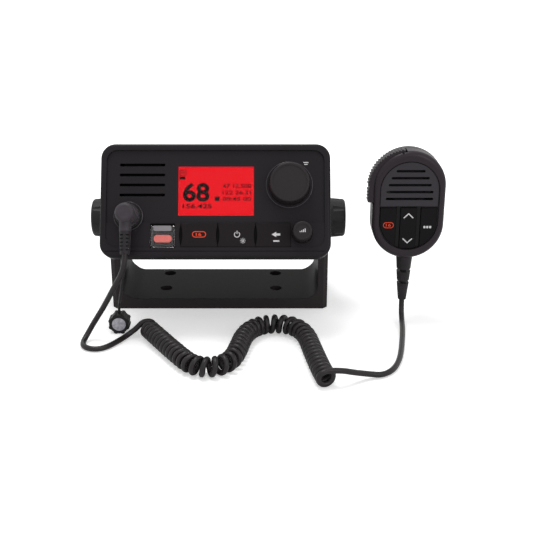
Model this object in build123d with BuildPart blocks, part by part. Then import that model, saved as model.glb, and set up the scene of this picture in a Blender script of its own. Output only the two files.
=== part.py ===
from build123d import *
import os
from math import atan, cos, degrees, pi, radians, sin, tan

os.makedirs("parts", exist_ok=True)

# Fixed-mount VHF marine radio on its tilting bracket, with a fist microphone on a curly
# cord hung in its bulkhead clip. Millimetres, +Z up, +X to the operator's right, the face
# looks towards -Y. The origin is the centre of the four bracket screw holes, on the deck.

# ---------------------------------------------------------------- shared clearances
RUN = 0.05          # radial running fit of a shaft in its bush
RUB = 0.1           # gap between flat faces that turn against each other
GAP = 0.3           # gap between faces of bodies that move apart
DRAFT_GAP = 0.5     # radial gap round a knob in its seat

# ---------------------------------------------------------------- bracket
ARM_GAP = 175.0
ARM_THICK = 9.0
BASE_DEPTH = 74.0
BASE_THICK = 9.5
BASE_FRONT = -44.3
BASE_LIP = 5.0
ARM_HEAD_R = 15.0
BRACKET_INNER_R = 13.0
BRACKET_EDGE_R = 0.8
FRONT_BEVEL = 4.0
HOLE_PITCH_X = 101.0
HOLE_PITCH_Y = 37.4
DECK_HOLE_D = 5.0
DECK_BORE_D = 11.0
DECK_BORE_DEPTH = 4.0
PIVOT_Z = 81.2
PIVOT_Y = BASE_FRONT + ARM_HEAD_R
ARM_OUT = ARM_GAP / 2 + ARM_THICK

STUD_D = 6.0
STUD_HOLE_GAP = 0.6
WASHER_THICK = 1.5
WASHER_D = 28.0
KNOB_D = 35.0
KNOB_END_D = 32.5
KNOB_LENGTH = 14.1
KNOB_FLUTES = 8
FLUTE_R = 5.0
FLUTE_DEPTH = 1.3
KNOB_BORE_DEPTH = 9.0
STUD_REACH = 12.0
INSERT_D = 10.0
INSERT_LENGTH = 14.0

# ---------------------------------------------------------------- radio, on its tilted face
TILT = 27.0
FACE_REACH = 60.6
FACE_RISE = 4.65
BEZEL_W = 189.4
BEZEL_H = 95.0
BEZEL_R = 12.0
BEZEL_DEPTH = 16.0
BEZEL_WALL = 4.5
BEZEL_FRONT_R = 2.6
BEZEL_BACK_R = 3.0
RIM_SIDE = 5.0
RIM_TOP = 5.5
RIM_BOTTOM = 8.7
RECESS_R = 9.0
RECESS = 1.8
PANEL_THICK = 3.0
STRIP_DROP = 0.8
STRIP_H = 20.5
LEDGE_Y = 5.4
LEDGE_H = 0.9
LEDGE_DEEP = 0.6

SCREEN_W = 62.0
SCREEN_H = 40.8
SCREEN_X = 0.4
SCREEN_GAP = 5.9
LENS_FLANGE = 3.6
LENS_FLANGE_THICK = 1.2
SCREEN_THICK = 4.2

SLOT_X = -60.3
SLOT_W = 37.4
SLOT_H = 2.2
SLOT_LIP = 0.7
SLOT_PITCH = 8.37
SLOT_TOP_Y = 29.9
SLOT_COUNT = 4
SPEAKER_D = 40.0
SPEAKER_Y = 17.3
SPEAKER_DEEP = 15.0
MAGNET_D = 22.0
MESH_THICK = 0.5

CHANNEL_X, CHANNEL_Y = 60.7, 13.0
CHANNEL_D = 33.3
CHANNEL_TOP = 12.3
CHANNEL_SEAT_D = 38.4
CHANNEL_SEAT_RISE = 1.2
VOLUME_X = 70.9
VOLUME_RISE = 11.8
VOLUME_D = 16.4
VOLUME_TOP = 13.8
VOLUME_SEAT_D = 19.6
VOLUME_SEAT_RISE = 0.6
KNOB_DRAFT = 2.0
KNOB_PUSH = 0.6
KNOB_WALL = 2.0
KNOB_LIP = 2.6
KNOB_DISH = 0.4
SHAFT_D = 6.0
SHAFT_TOP = 7.0
SHAFT_FOOT = 9.3
BUSH_D = 9.0
BUSH_TOP = 0.2
ENCODER_SIZE = 14.0

KEY_EDGES = (-28.3, 2.0, 32.9, 62.0)
KEY_BACK = 4.1
KEY_GAP = 0.2
KEY_EDGE_R = 0.4
LENS_W = 2.9
LENS_H = 18.0
LENS_DEEP = 2.2

COVER_X = -43.1
COVER_W = 19.4
COVER_DROP = 2.3
COVER_RISE = 0.4
COVER_THICK = 1.3
COVER_SKIRT = 1.0
COVER_PIN_D = 1.0
COVER_BARREL_D = 2.2
COVER_PIN_SINK = 1.6
COVER_POCKET = 3.0
DISTRESS_RISE = 7.3
DISTRESS_W = 14.8
DISTRESS_H = 6.0
DISTRESS_TOP = 1.4
DISTRESS_FOOT = 5.2

SOCKET_X, SOCKET_Y = -71.2, -13.3
SOCKET_D = 23.8
SOCKET_FLANGE = 1.6
SOCKET_NECK_D = 15.0
SOCKET_NECK = 6.5
SOCKET_BORE_D = 11.2
SOCKET_BARREL_D = 18.0
SOCKET_BARREL = 14.0
SOCKET_BORE_FOOT = 8.0

CASE_GAP_SEAL = 1.5
FLANGE_SIDE_GAP = 2.35
FLANGE_TOP_GAP = 3.5
FLANGE_R = 10.0
FLANGE_THICK = 4.0
CASE_SIDE_GAP = 3.5
CASE_SCREW_GAP = 0.5
CASE_BACK = 112.0
CASE_WALL = 3.0
CASE_EDGE_R = 4.0
BOSS_D = 30.0
FIN_COUNT = 8
FIN_PITCH = 7.0
FIN_THICK = 2.2
FIN_REACH = 10.0
FIN_FIRST_X = 31.0
FIN_LOW, FIN_HIGH = -17.0, 28.0
SCREW_X = 70.0
SCREW_EDGE = 6.9
SCREW_D = 3.0
SCREW_HEAD_D = 5.2
SCREW_HEAD = 2.2
SCREW_BITE = 8.0
POST_D = 8.0
BOARD_POST_D = 7.0
BOARD_THICK = 1.6
DECK_BOARD_Y = -14.0
BOARD_SIDE_GAP = 15.0
BOARD_POST_INSET = 10.0
CHIP_SIZE, CHIP_RISE = 12.0, 2.5
CAPACITOR_D, CAPACITOR_PITCH = 7.2, 10.0
DECK_BOARD_FRONT, DECK_BOARD_BACK = 32.0, 104.0

# ---------------------------------------------------------------- plug and its cord
RING_THICK = 2.2
RING_D = 20.0
COLLAR_D = 19.0
COLLAR_TOP = 9.8
COLLAR_RIBS = 20
PLUG_D = 16.0
PLUG_TOP = 22.6
PLUG_STEM_D = 11.0
PLUG_AXIS = 15.2
PLUG_ARM_D = 9.8
PLUG_ARM_END = -28.0
BOOT_END = -46.3
BOOT_SLOTS = 5
CORD_D = 4.6
COIL_D = 16.5
STRAP_D = 2.4

# ---------------------------------------------------------------- fist microphone
MIC_X, MIC_Y, MIC_Z = 159.2, -81.7, 107.6
MIC_W = 59.5
MIC_H = 91.8
MIC_FRONT_DEPTH = 14.0
MIC_SEAL = 0.8
MIC_DEPTH = 27.0
MIC_RIM = 5.1
MIC_RIM_ENDS = 8.0
MIC_RECESS = 1.0
MIC_WALL = 5.8
MIC_SKIN = 2.6
MIC_FRONT_R = 4.5
MIC_BACK_R = 7.0
GRILLE_FOOT = 15.1
GRILLE_THICK = 1.2
GRILLE_GAP = 0.9
GRILLE_SLOT_H = 2.1
GRILLE_SLOT_PITCH = 5.85
GRILLE_FIRST = 6.3
GRILLE_WIDTHS = (39.0, 38.6, 35.2, 31.0, 23.6)
MIC_KEY_SPLIT = 8.4
MIC_RIB = 3.0
SOUND_W, SOUND_H, SOUND_R = 41.0, 29.0, 8.0
SOUND_LAND = 2.9
MIC_KEY_GAP = 1.2
MIC_KEY_TRAVEL = 0.5
MIC_KEY_BACK = 4.6
ROCKER_RIB_D = 1.0
PTT_X = -1.6
PTT_DROP = 1.15
PTT_PROUD = 2.05
PTT_THICK = 4.0
PTT_FRONT, PTT_BACK = 2.6, 12.6
PTT_START = 96.0
PTT_RUN = 12.4
PTT_TEETH, PTT_RUN_TEETH = 17, 4
PTT_PIN_D = 1.6
PTT_SWING = 1.9
PTT_END_ROOM = 2.3
PTT_PIN_TURN = 4.0
PTT_TOOTH_D = 1.7
STUD_Y = -6.0
STUD_NECK_D = 8.0
STUD_NECK = 4.5
STUD_HEAD_D = 15.0
STUD_HEAD = 3.0
MIC_THREAD_D = 4.0
MIC_SCREW_D = 2.6
MIC_SCREW_HEAD_D = 4.6
MIC_SCREW_HEAD = 1.2
CLIP_W = 34.0
CLIP_UP = 14.0
CLIP_DOWN = 18.0
CLIP_FRONT = 3.5
CLIP_BACK = 3.0
CLIP_PLATE_H = 66.0
CLIP_PLATE_R = 15.0
CLIP_HOLE_PITCH = 52.0
CLIP_HOLE_D = 4.2
MIC_BOOT_LENGTH = 41.0
MIC_CORD_Z = 12.0

MIC_SCREW_X = 15.0
MIC_SCREW_TOP, MIC_SCREW_FOOT = 11.9, 14.9

# ---------------------------------------------------------------- sizes that follow from others
CASE_HALF_W = ARM_GAP / 2 - CASE_SIDE_GAP
FLANGE_W = BEZEL_W - 2 * FLANGE_SIDE_GAP
FLANGE_H = BEZEL_H - 2 * FLANGE_TOP_GAP
SCREW_Y = BEZEL_H / 2 - SCREW_EDGE
CASE_FRONT_HALF_H = SCREW_Y - SCREW_HEAD_D / 2 - CASE_SCREW_GAP
DECK_BOARD_W = 2 * (CASE_HALF_W - CASE_WALL - BOARD_SIDE_GAP)
STRIP_BOTTOM = -BEZEL_H / 2 + RIM_BOTTOM
STRIP_TOP = STRIP_BOTTOM + STRIP_H
SCREEN_Y = STRIP_TOP + SCREEN_GAP + SCREEN_H / 2
VOLUME_Y = STRIP_BOTTOM + VOLUME_RISE
COVER_TOP, COVER_BOTTOM = STRIP_TOP - COVER_DROP, STRIP_BOTTOM
DISTRESS_Y = COVER_BOTTOM + DISTRESS_RISE
PTT_Y = (MIC_H - MIC_W) / 2 - PTT_DROP
PTT_R = MIC_W / 2 + PTT_PROUD
GRILLE_BOTTOM = PTT_Y - GRILLE_FOOT
MIC_KEY_TOP = GRILLE_BOTTOM - MIC_KEY_GAP
SOUND_Y = MIC_KEY_TOP + SOUND_LAND + SOUND_H / 2
MIC_BOOT_END = -MIC_H / 2 - MIC_BOOT_LENGTH

# ---------------------------------------------------------------- planes and places
TILT_RAD = radians(TILT)
FACE_CENTRE = Vector(
    0,
    PIVOT_Y - FACE_REACH * cos(TILT_RAD) + FACE_RISE * sin(TILT_RAD),
    PIVOT_Z + FACE_REACH * sin(TILT_RAD) + FACE_RISE * cos(TILT_RAD),
)
FACE = Plane(origin=FACE_CENTRE, x_dir=(1, 0, 0), z_dir=(0, -cos(TILT_RAD), sin(TILT_RAD)))
SIDE = Plane(origin=FACE_CENTRE, x_dir=-FACE.z_dir, z_dir=(1, 0, 0))
LEVEL = Plane(origin=FACE_CENTRE, x_dir=(1, 0, 0), z_dir=FACE.y_dir)
MIC = Plane(origin=(MIC_X, MIC_Y, MIC_Z), x_dir=(1, 0, 0), z_dir=(0, -1, 0))
OUTWARD = Axis(FACE_CENTRE, FACE.z_dir)
UPFACE = Axis(FACE_CENTRE, FACE.y_dir)


def on_face(x, y, z):
    """A point given on the radio's face, in the part's own frame."""
    return FACE.from_local_coords((x, y, z))


def on_mic(x, y, z):
    """A point given on the microphone's front, in the part's own frame."""
    return MIC.from_local_coords((x, y, z))


def pivot_plane(x):
    """A plane across the tilt axis, facing outwards on its own side."""
    outward = 1 if x > 0 else -1
    return Plane(origin=(x, PIVOT_Y, PIVOT_Z), x_dir=(0, outward, 0), z_dir=(outward, 0, 0))


def finish(piece, label):
    """Name a finished piece and write it."""
    piece.part.label = label
    export_step(piece.part, f"parts/{label}.step")


# ================================================================ bracket
with BuildPart() as bracket:
    with BuildSketch(Plane.YZ) as cheek:
        with Locations((PIVOT_Y, PIVOT_Z)):
            Circle(ARM_HEAD_R)
        with Locations((BASE_FRONT + BASE_DEPTH / 2, (BASE_THICK + BASE_LIP) / 2)):
            Rectangle(BASE_DEPTH, BASE_THICK + BASE_LIP)
        make_hull()
    extrude(amount=ARM_OUT, both=True)
    chamfer(
        bracket.edges().filter_by(Axis.Z).group_by(Axis.Y)[0],
        FRONT_BEVEL,
    )
    with BuildSketch(Plane.XZ.offset(-BASE_FRONT - BASE_DEPTH)) as channel:
        with BuildLine():
            Polyline(
                (-ARM_GAP / 2, 2 * PIVOT_Z),
                (-ARM_GAP / 2, BASE_THICK),
                (ARM_GAP / 2, BASE_THICK),
                (ARM_GAP / 2, 2 * PIVOT_Z),
                close=True,
            )
        make_face()
        fillet(channel.vertices().group_by(Axis.Z)[0], BRACKET_INNER_R)
    extrude(amount=BASE_DEPTH, mode=Mode.SUBTRACT)
    front_edges = bracket.edges().filter_by_position(Axis.Y, BASE_FRONT - 0.01, BASE_FRONT + 0.01)
    fillet([e for e in front_edges if abs(e.center().X) < ARM_GAP / 2 + 0.01 and e.center().Z > 1], BRACKET_EDGE_R)
    with BuildSketch(Plane.XY.offset(BASE_THICK)):
        with GridLocations(HOLE_PITCH_X, HOLE_PITCH_Y, 2, 2):
            Circle(DECK_BORE_D / 2)
    extrude(amount=-DECK_BORE_DEPTH, mode=Mode.SUBTRACT)
    with BuildSketch(Plane.XY):
        with GridLocations(HOLE_PITCH_X, HOLE_PITCH_Y, 2, 2):
            Circle(DECK_HOLE_D / 2)
    extrude(amount=BASE_THICK, mode=Mode.SUBTRACT)
    with BuildSketch(Plane.YZ):
        with Locations((PIVOT_Y, PIVOT_Z)):
            Circle(STUD_D / 2 + STUD_HOLE_GAP)
    extrude(amount=ARM_OUT, both=True, mode=Mode.SUBTRACT)
finish(bracket, "bracket")

with BuildPart() as pivot_washers:
    for side in (-1, 1):
        with BuildSketch(pivot_plane(side * (ARM_GAP / 2 - WASHER_THICK))):
            Circle(WASHER_D / 2)
            Circle(STUD_D / 2 + STUD_HOLE_GAP, mode=Mode.SUBTRACT)
        extrude(amount=WASHER_THICK)
finish(pivot_washers, "pivot_washers")

for side, hand in ((-1, "left"), (1, "right")):
    knob_seat = pivot_plane(side * (ARM_OUT + GAP))
    with BuildPart() as bracket_knob:
        with BuildSketch(knob_seat):
            Circle(KNOB_D / 2)
        with BuildSketch(knob_seat.offset(KNOB_LENGTH)):
            Circle(KNOB_END_D / 2)
        loft()
        fillet(bracket_knob.faces().sort_by(Axis.X)[-1 if side > 0 else 0].edges(), 2.5)
        with BuildSketch(knob_seat.offset(KNOB_LENGTH * 0.2)):
            with PolarLocations(KNOB_D / 2 + FLUTE_R - FLUTE_DEPTH, KNOB_FLUTES):
                Circle(FLUTE_R)
        extrude(amount=KNOB_LENGTH, mode=Mode.SUBTRACT)
        with BuildSketch(knob_seat):
            Circle(STUD_D / 2)
        extrude(amount=KNOB_BORE_DEPTH, mode=Mode.SUBTRACT)
    finish(bracket_knob, f"bracket_knob_{hand}")
    with BuildPart() as knob_stud:
        with BuildSketch(pivot_plane(side * (ARM_OUT + GAP + KNOB_BORE_DEPTH))):
            Circle(STUD_D / 2)
        extrude(amount=-(KNOB_BORE_DEPTH + GAP + ARM_THICK + WASHER_THICK + RUB + STUD_REACH))
    finish(knob_stud, f"knob_stud_{hand}")

# ================================================================ radio: front bezel
RECESS_W = BEZEL_W - 2 * RIM_SIDE
RECESS_H = BEZEL_H - RIM_TOP - RIM_BOTTOM
RECESS_Y = (RIM_BOTTOM - RIM_TOP) / 2
STRIP_Y = (STRIP_TOP + STRIP_BOTTOM) / 2
PANEL_BACK = RECESS + PANEL_THICK
SLOT_YS = [SLOT_TOP_Y - i * SLOT_PITCH for i in range(SLOT_COUNT)]
SCREW_SPOTS = [(x, y) for x in (-SCREW_X, 0, SCREW_X) for y in (-SCREW_Y, SCREW_Y)]
COVER_PIN_Y = COVER_TOP - COVER_BARREL_D / 2
POCKET_TOP = COVER_PIN_Y + COVER_PIN_SINK + COVER_RISE + 2 * GAP
POCKET_BOTTOM = COVER_BOTTOM - 2 * GAP
KEY_LEFT, KEY_RIGHT = KEY_EDGES[0], KEY_EDGES[-1]
LENS_ARC_R = ((LENS_H / 2) ** 2 + (LENS_W / 2) ** 2) / LENS_W


def lens_outlines():
    """The pointed ovals between the keys, drawn in the current sketch."""
    for edge in KEY_EDGES[:3]:
        with BuildSketch(mode=Mode.PRIVATE) as oval:
            with Locations((edge - LENS_ARC_R + LENS_W / 2, STRIP_Y)):
                Circle(LENS_ARC_R)
            with Locations((edge + LENS_ARC_R - LENS_W / 2, STRIP_Y)):
                Circle(LENS_ARC_R, mode=Mode.INTERSECT)
        add(oval.sketch)


with BuildPart() as front_bezel:
    with BuildSketch(FACE.offset(-BEZEL_DEPTH)):
        RectangleRounded(BEZEL_W, BEZEL_H, BEZEL_R)
    extrude(amount=BEZEL_DEPTH)
    fillet(front_bezel.faces().sort_by(OUTWARD)[-1].edges(), BEZEL_FRONT_R)
    fillet(front_bezel.faces().sort_by(OUTWARD)[0].edges(), BEZEL_BACK_R)
    with BuildSketch(FACE):
        with Locations((0, RECESS_Y)):
            RectangleRounded(RECESS_W, RECESS_H, RECESS_R)
    extrude(amount=-STRIP_DROP, mode=Mode.SUBTRACT)
    with BuildSketch(FACE):
        with Locations((0, RECESS_Y)):
            RectangleRounded(RECESS_W, RECESS_H, RECESS_R)
        with Locations((0, STRIP_TOP + RECESS_H / 2)):
            Rectangle(RECESS_W, RECESS_H, mode=Mode.INTERSECT)
        with Locations((SOCKET_X, SOCKET_Y)):
            Circle(SOCKET_D / 2 + RUB, mode=Mode.SUBTRACT)
    extrude(amount=-RECESS, mode=Mode.SUBTRACT)
    # a fine ledge runs along the lower rim
    with BuildSketch(FACE):
        with Locations((0, -BEZEL_H / 2 + LEDGE_Y)):
            RectangleRounded(RECESS_W, LEDGE_H, LEDGE_H * 0.45)
    extrude(amount=-LEDGE_DEEP, mode=Mode.SUBTRACT)
    with BuildSketch(FACE.offset(-BEZEL_DEPTH)):
        RectangleRounded(BEZEL_W - 2 * BEZEL_WALL, BEZEL_H - 2 * BEZEL_WALL, BEZEL_R - BEZEL_WALL)
    extrude(amount=BEZEL_DEPTH - PANEL_BACK, mode=Mode.SUBTRACT)
    # raised seats round the two rotary knobs
    with BuildSketch(FACE.offset(-RECESS)):
        with Locations((CHANNEL_X, CHANNEL_Y)):
            Circle(CHANNEL_SEAT_D / 2)
            Circle(CHANNEL_D / 2 + DRAFT_GAP, mode=Mode.SUBTRACT)
    extrude(amount=CHANNEL_SEAT_RISE)
    with BuildSketch(FACE.offset(-RECESS)):
        with Locations((VOLUME_X, VOLUME_Y)):
            Circle(VOLUME_SEAT_D / 2)
            Circle(VOLUME_D / 2 + DRAFT_GAP, mode=Mode.SUBTRACT)
    extrude(amount=RECESS - STRIP_DROP + VOLUME_SEAT_RISE)
    with BuildSketch(FACE.offset(-RECESS)):
        with Locations((VOLUME_X, VOLUME_Y)):
            Circle(VOLUME_D / 2 + DRAFT_GAP)
    extrude(amount=RECESS, mode=Mode.SUBTRACT)
    # openings through the panel
    with BuildSketch(FACE):
        with Locations((SCREEN_X, SCREEN_Y)):
            Rectangle(SCREEN_W + 2 * RUB, SCREEN_H + 2 * RUB)
        with Locations((CHANNEL_X, CHANNEL_Y), (VOLUME_X, VOLUME_Y)):
            Circle(BUSH_D / 2 + RUN)
        with Locations((SOCKET_X, SOCKET_Y)):
            Circle(SOCKET_BARREL_D / 2 + RUN)
        with Locations(((KEY_LEFT + KEY_RIGHT) / 2, STRIP_Y)):
            Rectangle(KEY_RIGHT - KEY_LEFT, STRIP_H)
        with Locations((COVER_X, DISTRESS_Y)):
            SlotOverall(DISTRESS_W + 2 * KEY_GAP, DISTRESS_H + 2 * KEY_GAP)
    extrude(amount=-PANEL_BACK, mode=Mode.SUBTRACT)
    with BuildSketch(FACE):
        with Locations(*[(SLOT_X, y) for y in SLOT_YS]):
            RectangleRounded(SLOT_W, SLOT_H, SLOT_H * 0.35)
    extrude(amount=-PANEL_BACK, mode=Mode.SUBTRACT)
    # a sloping lip along the foot of each slot
    for y in SLOT_YS:
        lip = Plane(on_face(SLOT_X, y - SLOT_H / 2, -RECESS), FACE.y_dir, FACE.x_dir)
        with BuildSketch(lip):
            Polygon((-SLOT_LIP, 0), (SLOT_LIP, 0), (0, -SLOT_LIP), align=None)
        extrude(amount=SLOT_W / 2 - SLOT_H * 0.35, both=True, mode=Mode.SUBTRACT)
    with BuildSketch(FACE):
        lens_outlines()
    extrude(amount=-STRIP_DROP - LENS_DEEP, mode=Mode.SUBTRACT)
    # pocket and pin holes of the distress cover
    with BuildSketch(FACE):
        with Locations((COVER_X, (POCKET_TOP + POCKET_BOTTOM) / 2)):
            Rectangle(COVER_W + 2 * GAP, POCKET_TOP - POCKET_BOTTOM)
    extrude(amount=-COVER_POCKET, mode=Mode.SUBTRACT)
    with BuildSketch(Plane(on_face(COVER_X, COVER_PIN_Y, -COVER_PIN_SINK), (0, 1, 0), (1, 0, 0))):
        Circle(COVER_PIN_D / 2)
    extrude(amount=COVER_W / 2 + GAP + COVER_SKIRT, both=True, mode=Mode.SUBTRACT)
    # screw posts behind the rim, and a ledge that the front board stands on
    with BuildSketch(FACE.offset(-BEZEL_DEPTH)):
        with Locations(*SCREW_SPOTS):
            Circle(POST_D / 2)
        RectangleRounded(BEZEL_W - BEZEL_WALL, BEZEL_H - BEZEL_WALL, BEZEL_R, mode=Mode.INTERSECT)
    extrude(amount=BEZEL_DEPTH - PANEL_BACK)
    with BuildSketch(FACE.offset(-BEZEL_DEPTH)):
        with Locations(*SCREW_SPOTS):
            Circle(SCREW_D / 2)
    extrude(amount=SCREW_BITE + GAP, mode=Mode.SUBTRACT)
finish(front_bezel, "front_bezel")

# ---------------------------------------------------------------- display and front board
LENS_FRONT = RECESS + RUB
with BuildPart() as display_lens:
    with BuildSketch(FACE.offset(-PANEL_BACK)):
        with Locations((SCREEN_X, SCREEN_Y)):
            Rectangle(SCREEN_W + 2 * LENS_FLANGE, SCREEN_H + 2 * LENS_FLANGE)
    extrude(amount=-LENS_FLANGE_THICK)
    with BuildSketch(FACE.offset(-PANEL_BACK)):
        with Locations((SCREEN_X, SCREEN_Y)):
            Rectangle(SCREEN_W, SCREEN_H)
    extrude(amount=PANEL_BACK - LENS_FRONT)
finish(display_lens, "display_lens")

SCREEN_FRONT = PANEL_BACK + LENS_FLANGE_THICK
BOARD_FRONT = SCREEN_FRONT + SCREEN_THICK
with BuildPart() as display_panel:
    with BuildSketch(FACE.offset(-SCREEN_FRONT)):
        with Locations((SCREEN_X, SCREEN_Y)):
            Rectangle(SCREEN_W + 2 * LENS_FLANGE, SCREEN_H + 2 * LENS_FLANGE)
    extrude(amount=-SCREEN_THICK)
    with BuildSketch(FACE.offset(-SCREEN_FRONT)):
        with Locations((SCREEN_X, SCREEN_Y)):
            Rectangle(SCREEN_W - 2 * RUB, SCREEN_H - 2 * RUB)
    extrude(amount=-0.3, mode=Mode.SUBTRACT)
finish(display_panel, "display_panel")

BOARD_RIM_GAP, BOARD_POST_GAP = 3.2, 1.0
FRONT_BOARD_LEFT, FRONT_BOARD_RIGHT = -38.5, BEZEL_W / 2 - BEZEL_WALL - BOARD_RIM_GAP
FRONT_BOARD_TOP = SCREW_Y - POST_D / 2 - BOARD_POST_GAP
FRONT_BOARD_BOTTOM = -FRONT_BOARD_TOP
DISTRESS_TAB_LEFT = -52.0
with BuildPart() as front_board:
    with BuildSketch(FACE.offset(-BOARD_FRONT)):
        with BuildLine():
            Polyline(
                (FRONT_BOARD_LEFT, FRONT_BOARD_TOP),
                (FRONT_BOARD_RIGHT, FRONT_BOARD_TOP),
                (FRONT_BOARD_RIGHT, FRONT_BOARD_BOTTOM),
                (DISTRESS_TAB_LEFT, FRONT_BOARD_BOTTOM),
                (DISTRESS_TAB_LEFT, DISTRESS_Y + DISTRESS_H),
                (FRONT_BOARD_LEFT, DISTRESS_Y + DISTRESS_H),
                close=True,
            )
        make_face()
    extrude(amount=-BOARD_THICK)
finish(front_board, "front_board")

KEY_MEMBRANE_THICK = 0.8
MEMBRANE_LAP = 1.0
with BuildPart() as key_membrane:
    with BuildSketch(FACE.offset(-PANEL_BACK)):
        with Locations(((KEY_LEFT + KEY_RIGHT) / 2, STRIP_Y)):
            Rectangle(KEY_RIGHT - KEY_LEFT + 2 * MEMBRANE_LAP, STRIP_H + 2 * MEMBRANE_LAP)
        with Locations(*SCREW_SPOTS):
            Circle(POST_D / 2 + GAP, mode=Mode.SUBTRACT)
    extrude(amount=-KEY_MEMBRANE_THICK)
    with BuildSketch(FACE.offset(-PANEL_BACK)):
        for left, right in zip(KEY_EDGES[:-1], KEY_EDGES[1:]):
            with Locations(((left + right) / 2, STRIP_Y)):
                Circle(3.5)
    extrude(amount=RUB)
finish(key_membrane, "key_membrane")

SWITCH_SIZE = 6.0
SWITCH_PLUNGER_D = 3.0
SWITCH_BODY = 3.2
with BuildPart() as key_switches:
    for left, right in zip(KEY_EDGES[:-1], KEY_EDGES[1:]):
        with BuildSketch(FACE.offset(-BOARD_FRONT)):
            with Locations(((left + right) / 2, STRIP_Y)):
                RectangleRounded(SWITCH_SIZE, SWITCH_SIZE, 0.5)
        extrude(amount=SWITCH_BODY)
        with BuildSketch(FACE.offset(-BOARD_FRONT)):
            with Locations(((left + right) / 2, STRIP_Y)):
                Circle(SWITCH_PLUNGER_D / 2)
        extrude(amount=BOARD_FRONT - PANEL_BACK - KEY_MEMBRANE_THICK)
    with BuildSketch(FACE.offset(-BOARD_FRONT)):
        with Locations((COVER_X, DISTRESS_Y)):
            RectangleRounded(SWITCH_SIZE, SWITCH_SIZE, 0.5)
    extrude(amount=SWITCH_BODY)
finish(key_switches, "key_switches")

# ---------------------------------------------------------------- keys
for name, left, right in zip(("key_16", "key_power", "key_back"), KEY_EDGES[:-1], KEY_EDGES[1:]):
    with BuildPart() as key:
        with BuildSketch(FACE.offset(-KEY_BACK)):
            with Locations(((left + right) / 2, STRIP_Y)):
                Rectangle(right - left - 2 * KEY_GAP, STRIP_H - 2 * KEY_GAP)
        extrude(amount=KEY_BACK - STRIP_DROP)
        fillet(key.faces().sort_by(OUTWARD)[-1].edges(), KEY_EDGE_R)
        with BuildSketch(FACE):
            lens_outlines()
        extrude(amount=-STRIP_DROP - LENS_DEEP, mode=Mode.SUBTRACT)
    finish(key, name)

# ---------------------------------------------------------------- distress cover and button
COVER_FACE = COVER_THICK - COVER_RISE
with BuildPart() as distress_cover:
    with BuildSketch(FACE.offset(-COVER_POCKET + GAP)):
        with Locations((COVER_X, (COVER_PIN_Y + COVER_BOTTOM) / 2)):
            Rectangle(COVER_W, COVER_PIN_Y - COVER_BOTTOM)
    extrude(amount=COVER_POCKET - GAP + COVER_RISE)
    fillet(distress_cover.edges().filter_by(OUTWARD).group_by(UPFACE)[0], 1.6)
    fillet(distress_cover.faces().sort_by(OUTWARD)[-1].edges(), 0.5)
    with BuildSketch(FACE.offset(-COVER_POCKET)):
        with Locations((COVER_X, (COVER_PIN_Y + COVER_BOTTOM) / 2)):
            Rectangle(COVER_W - 2 * COVER_SKIRT, COVER_PIN_Y - COVER_BOTTOM - 2 * COVER_SKIRT)
    extrude(amount=COVER_POCKET - COVER_FACE, mode=Mode.SUBTRACT)
    barrel = Plane(on_face(COVER_X - COVER_W / 2, COVER_PIN_Y, -COVER_PIN_SINK), (0, 1, 0), (1, 0, 0))
    with BuildSketch(barrel):
        Circle(COVER_BARREL_D / 2)
    extrude(amount=COVER_W)
    with BuildSketch(barrel):
        Circle(COVER_PIN_D / 2 + RUN)
    extrude(amount=COVER_W, mode=Mode.SUBTRACT)
finish(distress_cover, "distress_cover")

with BuildPart() as distress_hinge_pin:
    with BuildSketch(Plane(on_face(COVER_X, COVER_PIN_Y, -COVER_PIN_SINK), (0, 1, 0), (1, 0, 0))):
        Circle(COVER_PIN_D / 2)
    extrude(amount=COVER_W / 2 + GAP + COVER_SKIRT, both=True)
finish(distress_hinge_pin, "distress_hinge_pin")

DISTRESS_LIP = 1.0
with BuildPart() as distress_button:
    with BuildSketch(FACE.offset(-DISTRESS_TOP)):
        with Locations((COVER_X, DISTRESS_Y)):
            SlotOverall(DISTRESS_W, DISTRESS_H)
    extrude(amount=-(DISTRESS_FOOT - DISTRESS_TOP))
    fillet(distress_button.faces().sort_by(OUTWARD)[-1].edges(), 0.4)
    with BuildSketch(FACE.offset(-DISTRESS_FOOT)):
        with Locations((COVER_X, DISTRESS_Y)):
            SlotOverall(DISTRESS_W + 2 * DISTRESS_LIP, DISTRESS_H + 2 * DISTRESS_LIP)
    extrude(amount=DISTRESS_FOOT - PANEL_BACK)
finish(distress_button, "distress_button")

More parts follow.
